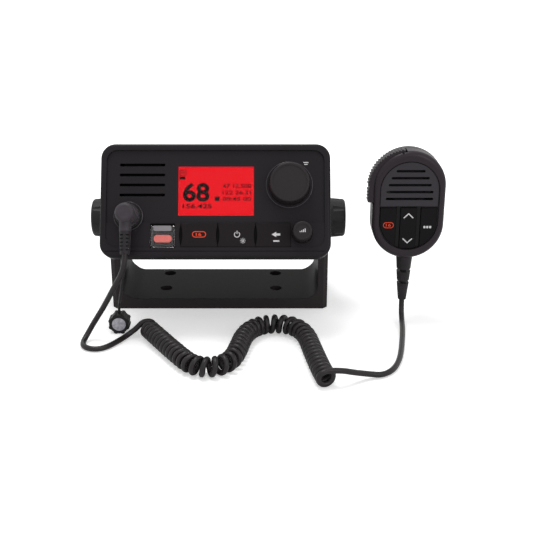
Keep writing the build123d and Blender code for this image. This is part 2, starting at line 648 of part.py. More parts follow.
# ---------------------------------------------------------------- rotary knobs
for name, x, y, size, top in (
    ("channel", CHANNEL_X, CHANNEL_Y, CHANNEL_D, CHANNEL_TOP),
    ("volume", VOLUME_X, VOLUME_Y, VOLUME_D, VOLUME_TOP),
):
    centre = Plane(on_face(x, y, 0), FACE.x_dir, FACE.z_dir)
    foot = STRIP_DROP if name == "channel" else 0.0
    cap = top - KNOB_WALL
    with BuildPart() as knob:
        with BuildSketch(centre.offset(-foot)):
            Circle(size / 2)
        extrude(amount=top + foot, taper=KNOB_DRAFT)
        fillet(knob.faces().sort_by(OUTWARD)[-1].edges(), 1.2)
        with BuildSketch(centre.offset(top)):
            Circle(size / 2 - KNOB_LIP)
        extrude(amount=-KNOB_DISH, mode=Mode.SUBTRACT)
        with BuildSketch(centre.offset(-foot)):
            Circle(size / 2 - KNOB_WALL)
        extrude(amount=cap + foot, taper=KNOB_DRAFT, mode=Mode.SUBTRACT)
        with BuildSketch(centre.offset(BUSH_TOP + KNOB_PUSH + GAP)):
            Circle(SHAFT_D / 2 + KNOB_WALL)
        extrude(amount=cap - BUSH_TOP)
        with BuildSketch(centre.offset(-foot)):
            Circle(SHAFT_D / 2 + RUN)
        extrude(amount=foot + SHAFT_TOP + KNOB_PUSH + GAP, mode=Mode.SUBTRACT)
    finish(knob, f"{name}_knob")
    with BuildPart() as shaft:
        with BuildSketch(centre.offset(-SHAFT_FOOT)):
            Circle(SHAFT_D / 2)
        extrude(amount=SHAFT_FOOT + SHAFT_TOP)
        chamfer(shaft.faces().sort_by(OUTWARD)[-1].edges(), 0.5)
    finish(shaft, f"{name}_shaft")
    with BuildPart() as encoder:
        with BuildSketch(centre.offset(-BOARD_FRONT)):
            RectangleRounded(ENCODER_SIZE, ENCODER_SIZE, 0.8)
        extrude(amount=BOARD_FRONT - PANEL_BACK)
        with BuildSketch(centre.offset(-BOARD_FRONT)):
            Circle(BUSH_D / 2)
        extrude(amount=BOARD_FRONT + BUSH_TOP)
        with BuildSketch(centre.offset(-SHAFT_FOOT - GAP)):
            Circle(SHAFT_D / 2 + RUN)
        extrude(amount=SHAFT_FOOT + GAP + SHAFT_TOP, mode=Mode.SUBTRACT)
    finish(encoder, f"{name}_encoder")

# ---------------------------------------------------------------- speaker
SPEAKER_SPOT = Plane(on_face(SLOT_X, SPEAKER_Y, -PANEL_BACK), FACE.x_dir, FACE.z_dir)
with BuildPart() as speaker_mesh:
    with BuildSketch(SPEAKER_SPOT):
        Circle(SPEAKER_D / 2)
    extrude(amount=-MESH_THICK)
finish(speaker_mesh, "speaker_mesh")

with BuildPart() as speaker:
    with BuildSketch(SPEAKER_SPOT.offset(-MESH_THICK)):
        Circle(SPEAKER_D / 2)
    extrude(amount=-2)
    with BuildSketch(SPEAKER_SPOT.offset(-MESH_THICK)):
        Circle(SPEAKER_D / 2 - 1)
    with BuildSketch(SPEAKER_SPOT.offset(-SPEAKER_DEEP + 6)):
        Circle(MAGNET_D / 2)
    loft()
    with BuildSketch(SPEAKER_SPOT.offset(-SPEAKER_DEEP + 6)):
        Circle(MAGNET_D / 2)
    extrude(amount=-6)
    with BuildSketch(SPEAKER_SPOT.offset(-MESH_THICK)):
        Circle(SPEAKER_D / 2 - 3)
    with BuildSketch(SPEAKER_SPOT.offset(-MESH_THICK - 5)):
        Circle(MAGNET_D / 4)
    loft(mode=Mode.SUBTRACT)
finish(speaker, "speaker")

# ---------------------------------------------------------------- socket, plug and collar
SOCKET = Plane(on_face(SOCKET_X, SOCKET_Y, 0), FACE.x_dir, FACE.z_dir)
FLANGE_TOP = SOCKET_FLANGE - STRIP_DROP
RING_FOOT = FLANGE_TOP + RUB
RING_TOP = RING_FOOT + RING_THICK
COLLAR_FOOT = RING_TOP + RUB
with BuildPart() as handset_socket:
    with BuildSketch(SOCKET.offset(-STRIP_DROP)):
        Circle(SOCKET_D / 2)
    extrude(amount=SOCKET_FLANGE)
    fillet(handset_socket.faces().sort_by(OUTWARD)[-1].edges(), 0.4)
    with BuildSketch(SOCKET.offset(-STRIP_DROP)):
        Circle(SOCKET_BARREL_D / 2)
    extrude(amount=-SOCKET_BARREL)
    with BuildSketch(SOCKET.offset(-STRIP_DROP)):
        Circle(SOCKET_NECK_D / 2)
    extrude(amount=SOCKET_NECK + STRIP_DROP)
    with BuildSketch(SOCKET.offset(-SOCKET_BORE_FOOT)):
        Circle(SOCKET_BORE_D / 2)
    extrude(amount=SOCKET_BORE_FOOT + SOCKET_NECK, mode=Mode.SUBTRACT)
finish(handset_socket, "handset_socket")

with BuildPart() as plug_collar:
    with BuildSketch(SOCKET.offset(COLLAR_FOOT)):
        Circle(COLLAR_D / 2)
        with PolarLocations(COLLAR_D / 2 + 0.5, COLLAR_RIBS):
            Circle(0.9, mode=Mode.SUBTRACT)
    extrude(amount=COLLAR_TOP - COLLAR_FOOT)
    with BuildSketch(SOCKET.offset(COLLAR_FOOT)):
        Circle(SOCKET_NECK_D / 2 + RUN)
    extrude(amount=SOCKET_NECK + GAP - COLLAR_FOOT, mode=Mode.SUBTRACT)
    with BuildSketch(SOCKET.offset(COLLAR_FOOT)):
        Circle(PLUG_STEM_D / 2 + RUN)
    extrude(amount=COLLAR_TOP, mode=Mode.SUBTRACT)
finish(plug_collar, "plug_collar")

PLUG_AXLE = Plane(on_face(SOCKET_X, SOCKET_Y, PLUG_AXIS), FACE.x_dir, -FACE.y_dir)
with BuildPart() as mic_plug:
    with BuildSketch(SOCKET.offset(COLLAR_TOP + RUB)):
        Circle(PLUG_D / 2)
    extrude(amount=PLUG_TOP - COLLAR_TOP - RUB)
    fillet(mic_plug.faces().sort_by(OUTWARD)[-1].edges(), 3.2)
    with BuildSketch(PLUG_AXLE):
        Circle(PLUG_ARM_D / 2)
    extrude(amount=SOCKET_Y - PLUG_ARM_END)
    with BuildSketch(SOCKET.offset(-SOCKET_BORE_FOOT + GAP)):
        Circle(PLUG_STEM_D / 2)
    extrude(amount=SOCKET_BORE_FOOT + COLLAR_TOP)
finish(mic_plug, "mic_plug")

BOOT_START_D, BOOT_TIP_D = 9.6, 7.8
BOOT_SLOT_H, BOOT_SLOT_DEEP, BOOT_CORE = 1.3, 2.6, 2.0
BOOT_PITCH = 3.0
with BuildPart() as plug_boot:
    with BuildSketch(PLUG_AXLE.offset(SOCKET_Y - PLUG_ARM_END)):
        Circle(BOOT_START_D / 2)
    with BuildSketch(PLUG_AXLE.offset(SOCKET_Y - BOOT_END)):
        Circle(BOOT_TIP_D / 2)
    loft()
    slot_middle = on_face(SOCKET_X, (PLUG_ARM_END + BOOT_END) / 2, PLUG_AXIS)
    with BuildSketch(Plane(slot_middle, FACE.x_dir, FACE.z_dir).offset(BOOT_CORE)):
        with GridLocations(BOOT_TIP_D / 2 + BOOT_CORE / 2, BOOT_PITCH, 2, BOOT_SLOTS):
            Rectangle(BOOT_SLOT_DEEP, BOOT_SLOT_H)
    extrude(amount=BOOT_START_D, mode=Mode.SUBTRACT)
finish(plug_boot, "plug_boot")

# ================================================================ radio: case behind the bezel
FLANGE_FRONT = BEZEL_DEPTH + CASE_GAP_SEAL
CASE_FRONT = FLANGE_FRONT
BOSS_OUT = ARM_GAP / 2 - WASHER_THICK - RUB
CASE_OUTLINE = (
    (CASE_FRONT, CASE_FRONT_HALF_H),
    (CASE_BACK - 8, CASE_FRONT_HALF_H - 2.5),
    (CASE_BACK, CASE_FRONT_HALF_H - 7.5),
    (CASE_BACK, FIN_LOW - 3),
    (CASE_BACK / 2 + 6, -CASE_FRONT_HALF_H + 1.5),
    (CASE_FRONT, -CASE_FRONT_HALF_H),
)
PORTS = {"antenna": (0.0, 12.0), "power": (17.0, -7.0), "network": (-17.0, -7.0)}
ANTENNA_D, POWER_D, NETWORK_D = 15.8, 14.0, 12.0
ANTENNA_BORE_D, POWER_BORE_D, NETWORK_BORE_D = 10.0, 7.2, 8.4
ANTENNA_BORE_DEEP, POWER_BORE_DEEP, NETWORK_BORE_DEEP = 12.0, 8.0, 6.0
ANTENNA_REACH, POWER_REACH, NETWORK_REACH = 15.0, 10.0, 9.0
ANTENNA_PLATE, ANTENNA_SCREW_PITCH, ANTENNA_SCREW_D = 25.0, 18.3, 3.2
ANTENNA_TAIL = 4.0
PORT_FLANGE = 2.0
POWER_NUT_R = 9.0
POST_X = DECK_BOARD_W / 2 - BOARD_POST_INSET
BOARD_POSTS = [(x, d) for x in (-POST_X, POST_X) for d in (DECK_BOARD_FRONT + 6, DECK_BOARD_BACK - 8)]

with BuildPart() as rear_case:
    with BuildSketch(SIDE) as outline:
        with BuildLine():
            Polyline(*CASE_OUTLINE, close=True)
        make_face()
    extrude(amount=CASE_HALF_W, both=True)
    fillet(rear_case.edges().filter_by(Axis.X), CASE_EDGE_R - 1)
    with BuildSketch(SIDE) as hollow:
        with BuildLine():
            Polyline(*CASE_OUTLINE, close=True)
        make_face()
        offset(amount=-CASE_WALL, kind=Kind.INTERSECTION)
        with Locations((CASE_FRONT, 0)):
            Rectangle(2 * CASE_WALL, 2 * (CASE_FRONT_HALF_H - CASE_WALL))
    extrude(amount=CASE_HALF_W - CASE_WALL, both=True, mode=Mode.SUBTRACT)
    # posts that the main board stands on, cut off level with the outside of the case
    with BuildSketch(LEVEL.offset(DECK_BOARD_Y)):
        with Locations(*BOARD_POSTS):
            Circle(BOARD_POST_D / 2)
    extrude(amount=-CASE_FRONT_HALF_H)
    with BuildSketch(SIDE):
        with BuildLine():
            Polyline(*CASE_OUTLINE, close=True)
        make_face()
    extrude(amount=CASE_HALF_W, both=True, mode=Mode.INTERSECT)
    # flange that closes on the gasket
    with BuildSketch(FACE.offset(-FLANGE_FRONT)):
        RectangleRounded(FLANGE_W, FLANGE_H, FLANGE_R)
        Rectangle(2 * (CASE_HALF_W - CASE_WALL), 2 * (CASE_FRONT_HALF_H - CASE_WALL), mode=Mode.SUBTRACT)
    extrude(amount=-FLANGE_THICK)
    with BuildSketch(FACE.offset(-FLANGE_FRONT)):
        with Locations(*SCREW_SPOTS):
            Circle(SCREW_D / 2 + RUB)
    extrude(amount=-FLANGE_THICK, mode=Mode.SUBTRACT)
    # bosses on the tilt axis, bored for the brass inserts
    for side in (-1, 1):
        with BuildSketch(pivot_plane(side * BOSS_OUT)):
            Circle(BOSS_D / 2)
        extrude(amount=-(BOSS_OUT - CASE_HALF_W + CASE_WALL))
        with BuildSketch(pivot_plane(side * BOSS_OUT)):
            Circle(INSERT_D / 2 + 3)
        extrude(amount=-INSERT_LENGTH)
        with BuildSketch(pivot_plane(side * BOSS_OUT)):
            Circle(INSERT_D / 2)
        extrude(amount=-INSERT_LENGTH, mode=Mode.SUBTRACT)
    # heat-sink fins either side of the sockets
    for side in (-1, 1):
        for index in range(FIN_COUNT):
            x = side * (FIN_FIRST_X + index * FIN_PITCH)
            with BuildSketch(Plane(SIDE.origin + Vector(x - FIN_THICK / 2, 0, 0), SIDE.x_dir, SIDE.z_dir)):
                with Locations((CASE_BACK + FIN_REACH / 2 - 1, (FIN_LOW + FIN_HIGH) / 2)):
                    RectangleRounded(FIN_REACH + 2, FIN_HIGH - FIN_LOW, 3)
            extrude(amount=FIN_THICK)
    # openings of the three rear sockets
    with BuildSketch(FACE.offset(-CASE_BACK - 1)):
        with Locations(PORTS["antenna"]):
            Circle(ANTENNA_D / 2)
        with Locations(PORTS["power"]):
            Circle(POWER_D / 2)
        with Locations(PORTS["network"]):
            Circle(NETWORK_D / 2)
    extrude(amount=CASE_WALL + 2, mode=Mode.SUBTRACT)
finish(rear_case, "rear_case")

SEAL_INSET = 0.8
with BuildPart() as case_seal:
    with BuildSketch(FACE.offset(-BEZEL_DEPTH)):
        RectangleRounded(FLANGE_W - 2 * SEAL_INSET, FLANGE_H - 2 * SEAL_INSET, FLANGE_R - SEAL_INSET)
        Rectangle(2 * (CASE_HALF_W - CASE_WALL), 2 * (CASE_FRONT_HALF_H - CASE_WALL), mode=Mode.SUBTRACT)
        with Locations(*SCREW_SPOTS):
            Circle(SCREW_D / 2 + RUB, mode=Mode.SUBTRACT)
    extrude(amount=-CASE_GAP_SEAL)
finish(case_seal, "case_seal")

with BuildPart() as case_screws:
    with BuildSketch(FACE.offset(-FLANGE_FRONT - FLANGE_THICK)):
        with Locations(*SCREW_SPOTS):
            Circle(SCREW_HEAD_D / 2)
    extrude(amount=-SCREW_HEAD)
    with BuildSketch(FACE.offset(-FLANGE_FRONT - FLANGE_THICK - SCREW_HEAD)):
        with Locations(*SCREW_SPOTS):
            RegularPolygon(1.5, 6)
    extrude(amount=SCREW_HEAD - 0.8, mode=Mode.SUBTRACT)
    with BuildSketch(FACE.offset(-FLANGE_FRONT - FLANGE_THICK)):
        with Locations(*SCREW_SPOTS):
            Circle(SCREW_D / 2 - RUN)
    extrude(amount=FLANGE_THICK + CASE_GAP_SEAL + SCREW_BITE)
finish(case_screws, "case_screws")

with BuildPart() as pivot_inserts:
    for side in (-1, 1):
        with BuildSketch(pivot_plane(side * BOSS_OUT)):
            Circle(INSERT_D / 2)
            Circle(STUD_D / 2 + RUN, mode=Mode.SUBTRACT)
        extrude(amount=-INSERT_LENGTH)
finish(pivot_inserts, "pivot_inserts")

# ---------------------------------------------------------------- inside the case
SHIELD_W, SHIELD_L, SHIELD_H, SHIELD_SKIN = 62.0, 44.0, 12.0, 1.0
SHIELD_X = -4.0
SHIELD_MIDDLE = (DECK_BOARD_FRONT + DECK_BOARD_BACK) / 2 - SHIELD_L / 4
SHIELD_EDGE_X = SHIELD_X + SHIELD_W / 2
with BuildPart() as main_board:
    with BuildSketch(LEVEL.offset(DECK_BOARD_Y)):
        with Locations((0, (DECK_BOARD_FRONT + DECK_BOARD_BACK) / 2)):
            Rectangle(DECK_BOARD_W, DECK_BOARD_BACK - DECK_BOARD_FRONT)
    extrude(amount=BOARD_THICK)
    with BuildSketch(LEVEL.offset(DECK_BOARD_Y + BOARD_THICK)):
        with Locations(
            (SHIELD_EDGE_X + CHIP_SIZE, SHIELD_MIDDLE - CHIP_SIZE),
            (SHIELD_EDGE_X + CHIP_SIZE, SHIELD_MIDDLE + CHIP_SIZE),
            (SHIELD_X - SHIELD_W / 2 - CHIP_SIZE, SHIELD_MIDDLE),
        ):
            Rectangle(CHIP_SIZE, CHIP_SIZE)
        with Locations((SHIELD_EDGE_X, DECK_BOARD_BACK - CHIP_SIZE)):
            with GridLocations(CAPACITOR_PITCH, 0, 3, 1):
                Circle(CAPACITOR_D / 2)
    extrude(amount=CHIP_RISE)
finish(main_board, "main_board")

with BuildPart() as rf_shield:
    with BuildSketch(LEVEL.offset(DECK_BOARD_Y + BOARD_THICK)):
        with Locations((SHIELD_X, SHIELD_MIDDLE)):
            Rectangle(SHIELD_W, SHIELD_L)
    extrude(amount=SHIELD_H)
    with BuildSketch(LEVEL.offset(DECK_BOARD_Y + BOARD_THICK)):
        with Locations((SHIELD_X, SHIELD_MIDDLE)):
            Rectangle(SHIELD_W - 2 * SHIELD_SKIN, SHIELD_L - 2 * SHIELD_SKIN)
    extrude(amount=SHIELD_H - SHIELD_SKIN, mode=Mode.SUBTRACT)
finish(rf_shield, "rf_shield")

REAR = Plane(on_face(0, 0, -CASE_BACK), (-1, 0, 0), -FACE.z_dir)
with BuildPart() as antenna_socket:
    spot = Plane(on_face(*PORTS["antenna"], -CASE_BACK), REAR.x_dir, REAR.z_dir)
    with BuildSketch(spot):
        RectangleRounded(ANTENNA_PLATE, ANTENNA_PLATE, 2)
        with GridLocations(ANTENNA_SCREW_PITCH, ANTENNA_SCREW_PITCH, 2, 2):
            Circle(ANTENNA_SCREW_D / 2, mode=Mode.SUBTRACT)
    extrude(amount=PORT_FLANGE)
    with BuildSketch(spot.offset(-CASE_WALL - ANTENNA_TAIL)):
        Circle(ANTENNA_D / 2 - RUN)
    extrude(amount=CASE_WALL + ANTENNA_TAIL + ANTENNA_REACH)
    with BuildSketch(spot.offset(ANTENNA_REACH - ANTENNA_BORE_DEEP)):
        Circle(ANTENNA_BORE_D / 2)
    extrude(amount=ANTENNA_BORE_DEEP, mode=Mode.SUBTRACT)
finish(antenna_socket, "antenna_socket")

with BuildPart() as power_gland:
    spot = Plane(on_face(*PORTS["power"], -CASE_BACK), REAR.x_dir, REAR.z_dir)
    with BuildSketch(spot):
        RegularPolygon(POWER_NUT_R, 6)
    extrude(amount=2 * PORT_FLANGE)
    with BuildSketch(spot.offset(-CASE_WALL)):
        Circle(POWER_D / 2 - RUN)
    extrude(amount=CASE_WALL + POWER_REACH)
    with BuildSketch(spot.offset(POWER_REACH - POWER_BORE_DEEP)):
        Circle(POWER_BORE_D / 2)
    extrude(amount=POWER_BORE_DEEP, mode=Mode.SUBTRACT)
finish(power_gland, "power_gland")

with BuildPart() as network_port:
    spot = Plane(on_face(*PORTS["network"], -CASE_BACK), REAR.x_dir, REAR.z_dir)
    with BuildSketch(spot):
        Circle(NETWORK_D / 2 + PORT_FLANGE)
    extrude(amount=PORT_FLANGE)
    with BuildSketch(spot.offset(-CASE_WALL)):
        Circle(NETWORK_D / 2 - RUN)
    extrude(amount=CASE_WALL + NETWORK_REACH)
    with BuildSketch(spot.offset(NETWORK_REACH - NETWORK_BORE_DEEP)):
        Circle(NETWORK_BORE_D / 2)
    extrude(amount=NETWORK_BORE_DEEP, mode=Mode.SUBTRACT)
finish(network_port, "network_port")

# ================================================================ cords
BOOT_TIP = on_face(SOCKET_X, BOOT_END, PLUG_AXIS)
COIL_Z = COIL_D / 2 + 0.1
FLOOR_Z = CORD_D / 2 + 0.15

# The lead hangs from the plug's boot, turns on the deck and climbs on to the coil.
LEAD_A_ROUTE = [
    tuple(BOOT_TIP),
    tuple(on_face(SOCKET_X, BOOT_END - 12.0, PLUG_AXIS)),
    (-81.0, -117.2, 51.0),
    (-91.2, -111.0, 31.6),
    (-102.2, -107.4, 13.8),
    (-106.4, -110.8, 6.8),
    (-109.4, -118.0, FLOOR_Z),
    (-108.3, -125.6, FLOOR_Z),
    (-103.0, -131.0, FLOOR_Z),
    (-95.5, -132.3, FLOOR_Z),
    (-88.4, -128.6, FLOOR_Z),
    (-80.8, -117.2, FLOOR_Z),
    (-74.5, -107.0, 3.0),
    (-67.0, -103.0, 8.4),
    (-54.6, -101.4, 13.2),
]
# The curly part lies on the deck in two opposite bends.
COIL_ROUTE = [
    (-58.6, -101.8, COIL_Z),
    (-47.4, -121.0, COIL_Z),
    (-34.0, -143.4, COIL_Z),
    (-23.4, -160.6, COIL_Z),
    (-15.4, -171.3, COIL_Z),
    (-6.0, -175.6, COIL_Z),
    (4.0, -174.2, COIL_Z),
    (12.0, -167.4, COIL_Z),
    (16.8, -156.6, COIL_Z),
    (20.2, -138.4, COIL_Z),
    (22.4, -123.6, COIL_Z),
    (27.2, -109.4, COIL_Z),
    (36.2, -98.8, COIL_Z),
    (47.8, -95.4, COIL_Z),
    (59.4, -97.0, COIL_Z),
    (69.0, -105.0, COIL_Z),
    (75.0, -119.4, COIL_Z),
    (77.9, -140.8, COIL_Z),
    (81.2, -163.6, COIL_Z),
    (84.6, -184.6, COIL_Z),
    (88.0, -199.0, COIL_Z),
]
# The second lead leaves the last turn, lies on the deck and rises to the microphone.
LEAD_B_ROUTE = [
    (86.4, -193.6, 13.6),
    (97.0, -191.2, 12.4),
    (108.2, -184.6, 8.2),
    (120.0, -178.6, 4.2),
    (131.0, -177.2, FLOOR_Z),
    (140.8, -167.6, FLOOR_Z),
    (147.4, -150.6, FLOOR_Z),
    (151.6, -131.0, FLOOR_Z),
    (155.0, -110.6, FLOOR_Z),
    (158.8, -90.4, FLOOR_Z),
    (160.4, -77.2, 3.4),
    tuple(on_mic(0, MIC_BOOT_END - 10.0, -MIC_CORD_Z)),
    tuple(on_mic(0, MIC_BOOT_END, -MIC_CORD_Z)),
]


def bend_radii(points, share=0.45):
    """The largest arc that each corner of a route takes: a share of its shorter run."""
    radii = []
    for before, corner, after in zip(points, points[1:], points[2:]):
        run_in = Vector(*corner) - Vector(*before)
        run_out = Vector(*after) - Vector(*corner)
        half_turn = radians(run_in.get_angle(run_out)) / 2
        radii.append(share * min(run_in.length, run_out.length) / tan(half_turn))
    return radii


def cord(points, diameter, label):
    """A tube along straight runs joined by tangent arcs."""
    radii = bend_radii(points)
    with BuildPart() as tube:
        with BuildLine() as path:
            route = FilletPolyline(*points, radius=radii)
        start = Vector(*points[0])
        with BuildSketch(Plane(start, z_dir=Vector(*points[1]) - start)):
            Circle(diameter / 2)
        sweep(path=path.line)
    expected = pi * diameter**2 / 4 * route.length
    print(label, "length", round(route.length, 1), "volume ratio", round(tube.part.volume / expected, 4))
    print(label, "radii", [round(r, 1) for r in radii])
    finish(tube, label)


cord(LEAD_A_ROUTE, CORD_D, "cord_lead_a")
cord(COIL_ROUTE, COIL_D, "cord_coil")
cord(LEAD_B_ROUTE, CORD_D, "cord_lead_b")

# ---------------------------------------------------------------- socket's dust cap and its strap
CAP_X, CAP_Y = -82.6, -93.0
CAP_D, CAP_LOBES, CAP_LOBE_D = 16.6, 8, 4.0
CAP_DEEP = 10.0
CAP_SKIN = 2.0
CAP_TURN = 22.5
CAP_RING = (CAP_D / 2 - 1.0, CAP_LOBES)
CAP_Z = CAP_RING[0] * cos(radians(CAP_TURN)) + CAP_LOBE_D / 2 + 0.05
CAP_PLANE = Plane(origin=(CAP_X, CAP_Y, CAP_Z), x_dir=(1, 0, 0), z_dir=(0, -1, 0))
with BuildPart() as dust_cap:
    with BuildSketch(CAP_PLANE.offset(-CAP_DEEP / 2)):
        Circle(CAP_D / 2)
        with PolarLocations(*CAP_RING, start_angle=CAP_TURN):
            Circle(CAP_LOBE_D / 2)
    extrude(amount=CAP_DEEP)
    with BuildSketch(CAP_PLANE.offset(-CAP_DEEP / 2)):
        Circle(SOCKET_NECK_D / 2 - 1.2)
    extrude(amount=CAP_DEEP - CAP_SKIN, mode=Mode.SUBTRACT)
finish(dust_cap, "dust_cap")

with BuildPart() as tether_ring:
    with BuildSketch(SOCKET.offset(RING_FOOT)):
        Circle(RING_D / 2)
        Circle(SOCKET_NECK_D / 2 + RUN, mode=Mode.SUBTRACT)
    extrude(amount=RING_THICK)
finish(tether_ring, "tether_ring")

STRAP_LEVEL = RING_FOOT + RING_THICK / 2
STRAP_ROUTE = [
    tuple(on_face(SOCKET_X, SOCKET_Y - RING_D / 2 - RUN, STRAP_LEVEL)),
    tuple(on_face(SOCKET_X - 0.3, SOCKET_Y - 21.0, STRAP_LEVEL + 0.8)),
    tuple(on_face(SOCKET_X - 1.0, -BEZEL_H / 2 + 1.0, STRAP_LEVEL + 2.6)),
    (-73.6, -111.6, 61.5),
    (-76.4, -109.6, 47.0),
    (-79.6, -102.0, 34.0),
    (-82.0, -94.8, 26.0),
    (CAP_X, CAP_Y, 2 * CAP_Z - 0.2),
]
cord(STRAP_ROUTE, STRAP_D, "cap_tether")

# ================================================================ fist microphone
MIC_RECESS_W, MIC_RECESS_H = MIC_W - 2 * MIC_RIM, MIC_H - 2 * MIC_RIM_ENDS
MIC_CAVITY_W, MIC_CAVITY_H = MIC_W - 2 * MIC_WALL, MIC_H - 2 * MIC_WALL
KEY_FLOOR = MIC_RECESS + GRILLE_THICK
PTT_ARC = Plane(on_mic(PTT_X, PTT_Y, 0), (1, 0, 0), (0, -1, 0))
PTT_HINGE = radians(PTT_START + PTT_PIN_TURN)
PTT_PIN = (
    PTT_X + (PTT_R - PTT_THICK / 2) * cos(PTT_HINGE),
    PTT_Y + (PTT_R - PTT_THICK / 2) * sin(PTT_HINGE),
)
PTT_TOOTH_PITCH = PTT_R * (pi - PTT_HINGE) / (PTT_TEETH - 1)
MIC_SCREW_YS = (MIC_SCREW_FOOT - MIC_H / 2, MIC_H / 2 - MIC_SCREW_TOP)
MIC_SCREWS = [(x, y) for x in (-MIC_SCREW_X, MIC_SCREW_X) for y in MIC_SCREW_YS]


def mic_outline(width, height):
    """The upright rounded outline of the microphone, drawn in the current sketch."""
    SlotOverall(height, width, rotation=90)


def key_regions():
    """Left key, rocker and right key: middle and width of each across the front."""
    half = MIC_RECESS_W / 2 - GRILLE_GAP
    rocker = MIC_KEY_SPLIT - MIC_RIB / 2
    side_w = half - MIC_KEY_SPLIT - MIC_RIB / 2
    middle = MIC_KEY_SPLIT + MIC_RIB / 2 + side_w / 2
    return ((-middle, side_w), (0.0, 2 * rocker), (middle, side_w))


def key_sketch(middle, width, shrink):
    """One key's outline: its column, cut by the rounded recess of the front."""
    height = MIC_RECESS_H / 2 - GRILLE_GAP + MIC_KEY_TOP
    with Locations((middle, MIC_KEY_TOP - height / 2)):
        Rectangle(width - 2 * shrink, height - 2 * shrink)
    inset = 2 * (GRILLE_GAP + shrink)
    SlotOverall(MIC_RECESS_H - inset, MIC_RECESS_W - inset, rotation=90, mode=Mode.INTERSECT)


def ptt_band(inner, outer, start, run):
    """A band round the upper-left edge: an arc from an angle to the side, then a straight run."""
    with BuildLine(mode=Mode.PRIVATE) as band:
        outside = CenterArc((0, 0), outer, start, 180 - start)
        inside = CenterArc((0, 0), inner, start, 180 - start)
        Line(outside @ 0, inside @ 0)
        Polyline(outside @ 1, (-outer, -run), (-inner, -run), inside @ 1)
    make_face(band.edges())


with BuildPart() as handset_front:
    with BuildSketch(MIC.offset(-MIC_FRONT_DEPTH)):
        mic_outline(MIC_W, MIC_H)
    extrude(amount=MIC_FRONT_DEPTH)
    fillet(handset_front.faces().sort_by(Axis.Y)[0].edges(), MIC_FRONT_R)
    with BuildSketch(MIC):
        mic_outline(MIC_RECESS_W, MIC_RECESS_H)
    extrude(amount=-KEY_FLOOR, mode=Mode.SUBTRACT)
    with BuildSketch(MIC.offset(-MIC_FRONT_DEPTH)):
        mic_outline(MIC_CAVITY_W, MIC_CAVITY_H)
    extrude(amount=MIC_FRONT_DEPTH - KEY_FLOOR - MIC_SKIN, mode=Mode.SUBTRACT)
    # sound opening behind the speaker grille
    with BuildSketch(MIC):
        with Locations((0, SOUND_Y)):
            RectangleRounded(SOUND_W, SOUND_H, SOUND_R)
    extrude(amount=-KEY_FLOOR - MIC_SKIN, mode=Mode.SUBTRACT)
    # openings of the three keys
    for middle, width in key_regions():
        with BuildSketch(MIC):
            key_sketch(middle, width, 0.0)
        extrude(amount=-KEY_FLOOR - MIC_SKIN, mode=Mode.SUBTRACT)
    # pocket and pin hole of the push-to-talk bar
    with BuildSketch(PTT_ARC.offset(-PTT_BACK - GAP)):
        ptt_band(PTT_R - PTT_THICK - PTT_SWING, PTT_R + PTT_THICK, PTT_START - 3, PTT_RUN + PTT_END_ROOM)
    extrude(amount=PTT_BACK - PTT_FRONT + 2 * GAP, mode=Mode.SUBTRACT)
    with BuildSketch(MIC):
        with Locations(PTT_PIN):
            Circle(PTT_PIN_D / 2)
    extrude(amount=-MIC_FRONT_DEPTH, mode=Mode.SUBTRACT)
finish(handset_front, "handset_front")

with BuildPart() as handset_seal:
    with BuildSketch(MIC.offset(-MIC_FRONT_DEPTH)):
        mic_outline(MIC_W - 1.2, MIC_H - 1.2)
        SlotOverall(MIC_CAVITY_H, MIC_CAVITY_W, rotation=90, mode=Mode.SUBTRACT)
        with Locations(*MIC_SCREWS):
            Circle(1.4, mode=Mode.SUBTRACT)
    extrude(amount=-MIC_SEAL)
finish(handset_seal, "handset_seal")

with BuildPart() as handset_rear:
    with BuildSketch(MIC.offset(-MIC_FRONT_DEPTH - MIC_SEAL)):
        mic_outline(MIC_W, MIC_H)
    extrude(amount=-(MIC_DEPTH - MIC_FRONT_DEPTH - MIC_SEAL))
    fillet(handset_rear.faces().sort_by(Axis.Y)[-1].edges(), MIC_BACK_R)
    with BuildSketch(MIC.offset(-MIC_FRONT_DEPTH - MIC_SEAL)):
        mic_outline(MIC_CAVITY_W, MIC_CAVITY_H)
    extrude(amount=-(MIC_DEPTH - MIC_FRONT_DEPTH - MIC_SEAL - MIC_SKIN), mode=Mode.SUBTRACT)
    with BuildSketch(MIC.offset(-MIC_DEPTH)):
        with Locations((0, STUD_Y)):
            Circle(MIC_THREAD_D / 2)
    extrude(amount=MIC_SKIN, mode=Mode.SUBTRACT)
    with BuildSketch(MIC.offset(-MIC_DEPTH)):
        with Locations(*MIC_SCREWS):
            Circle(MIC_SCREW_HEAD_D / 2 + RUN)
    extrude(amount=MIC_SCREW_HEAD, mode=Mode.SUBTRACT)
    with BuildSketch(MIC.offset(-MIC_DEPTH)):
        with Locations(*MIC_SCREWS):
            Circle(MIC_SCREW_D / 2)
    extrude(amount=MIC_SKIN, mode=Mode.SUBTRACT)
finish(handset_rear, "handset_rear")

with BuildPart() as grille_panel:
    with BuildSketch(MIC.offset(-KEY_FLOOR)):
        mic_outline(MIC_RECESS_W - 2 * GRILLE_GAP, MIC_RECESS_H - 2 * GRILLE_GAP)
        with Locations((0, GRILLE_BOTTOM + MIC_H / 2)):
            Rectangle(MIC_W, MIC_H, mode=Mode.INTERSECT)
        for index, width in enumerate(GRILLE_WIDTHS):
            with Locations((0, GRILLE_BOTTOM + GRILLE_FIRST + index * GRILLE_SLOT_PITCH)):
                SlotOverall(width, GRILLE_SLOT_H, mode=Mode.SUBTRACT)
    extrude(amount=GRILLE_THICK)
    fillet(grille_panel.faces().sort_by(Axis.Y)[0].outer_wire().edges(), 0.3)
finish(grille_panel, "grille_panel")

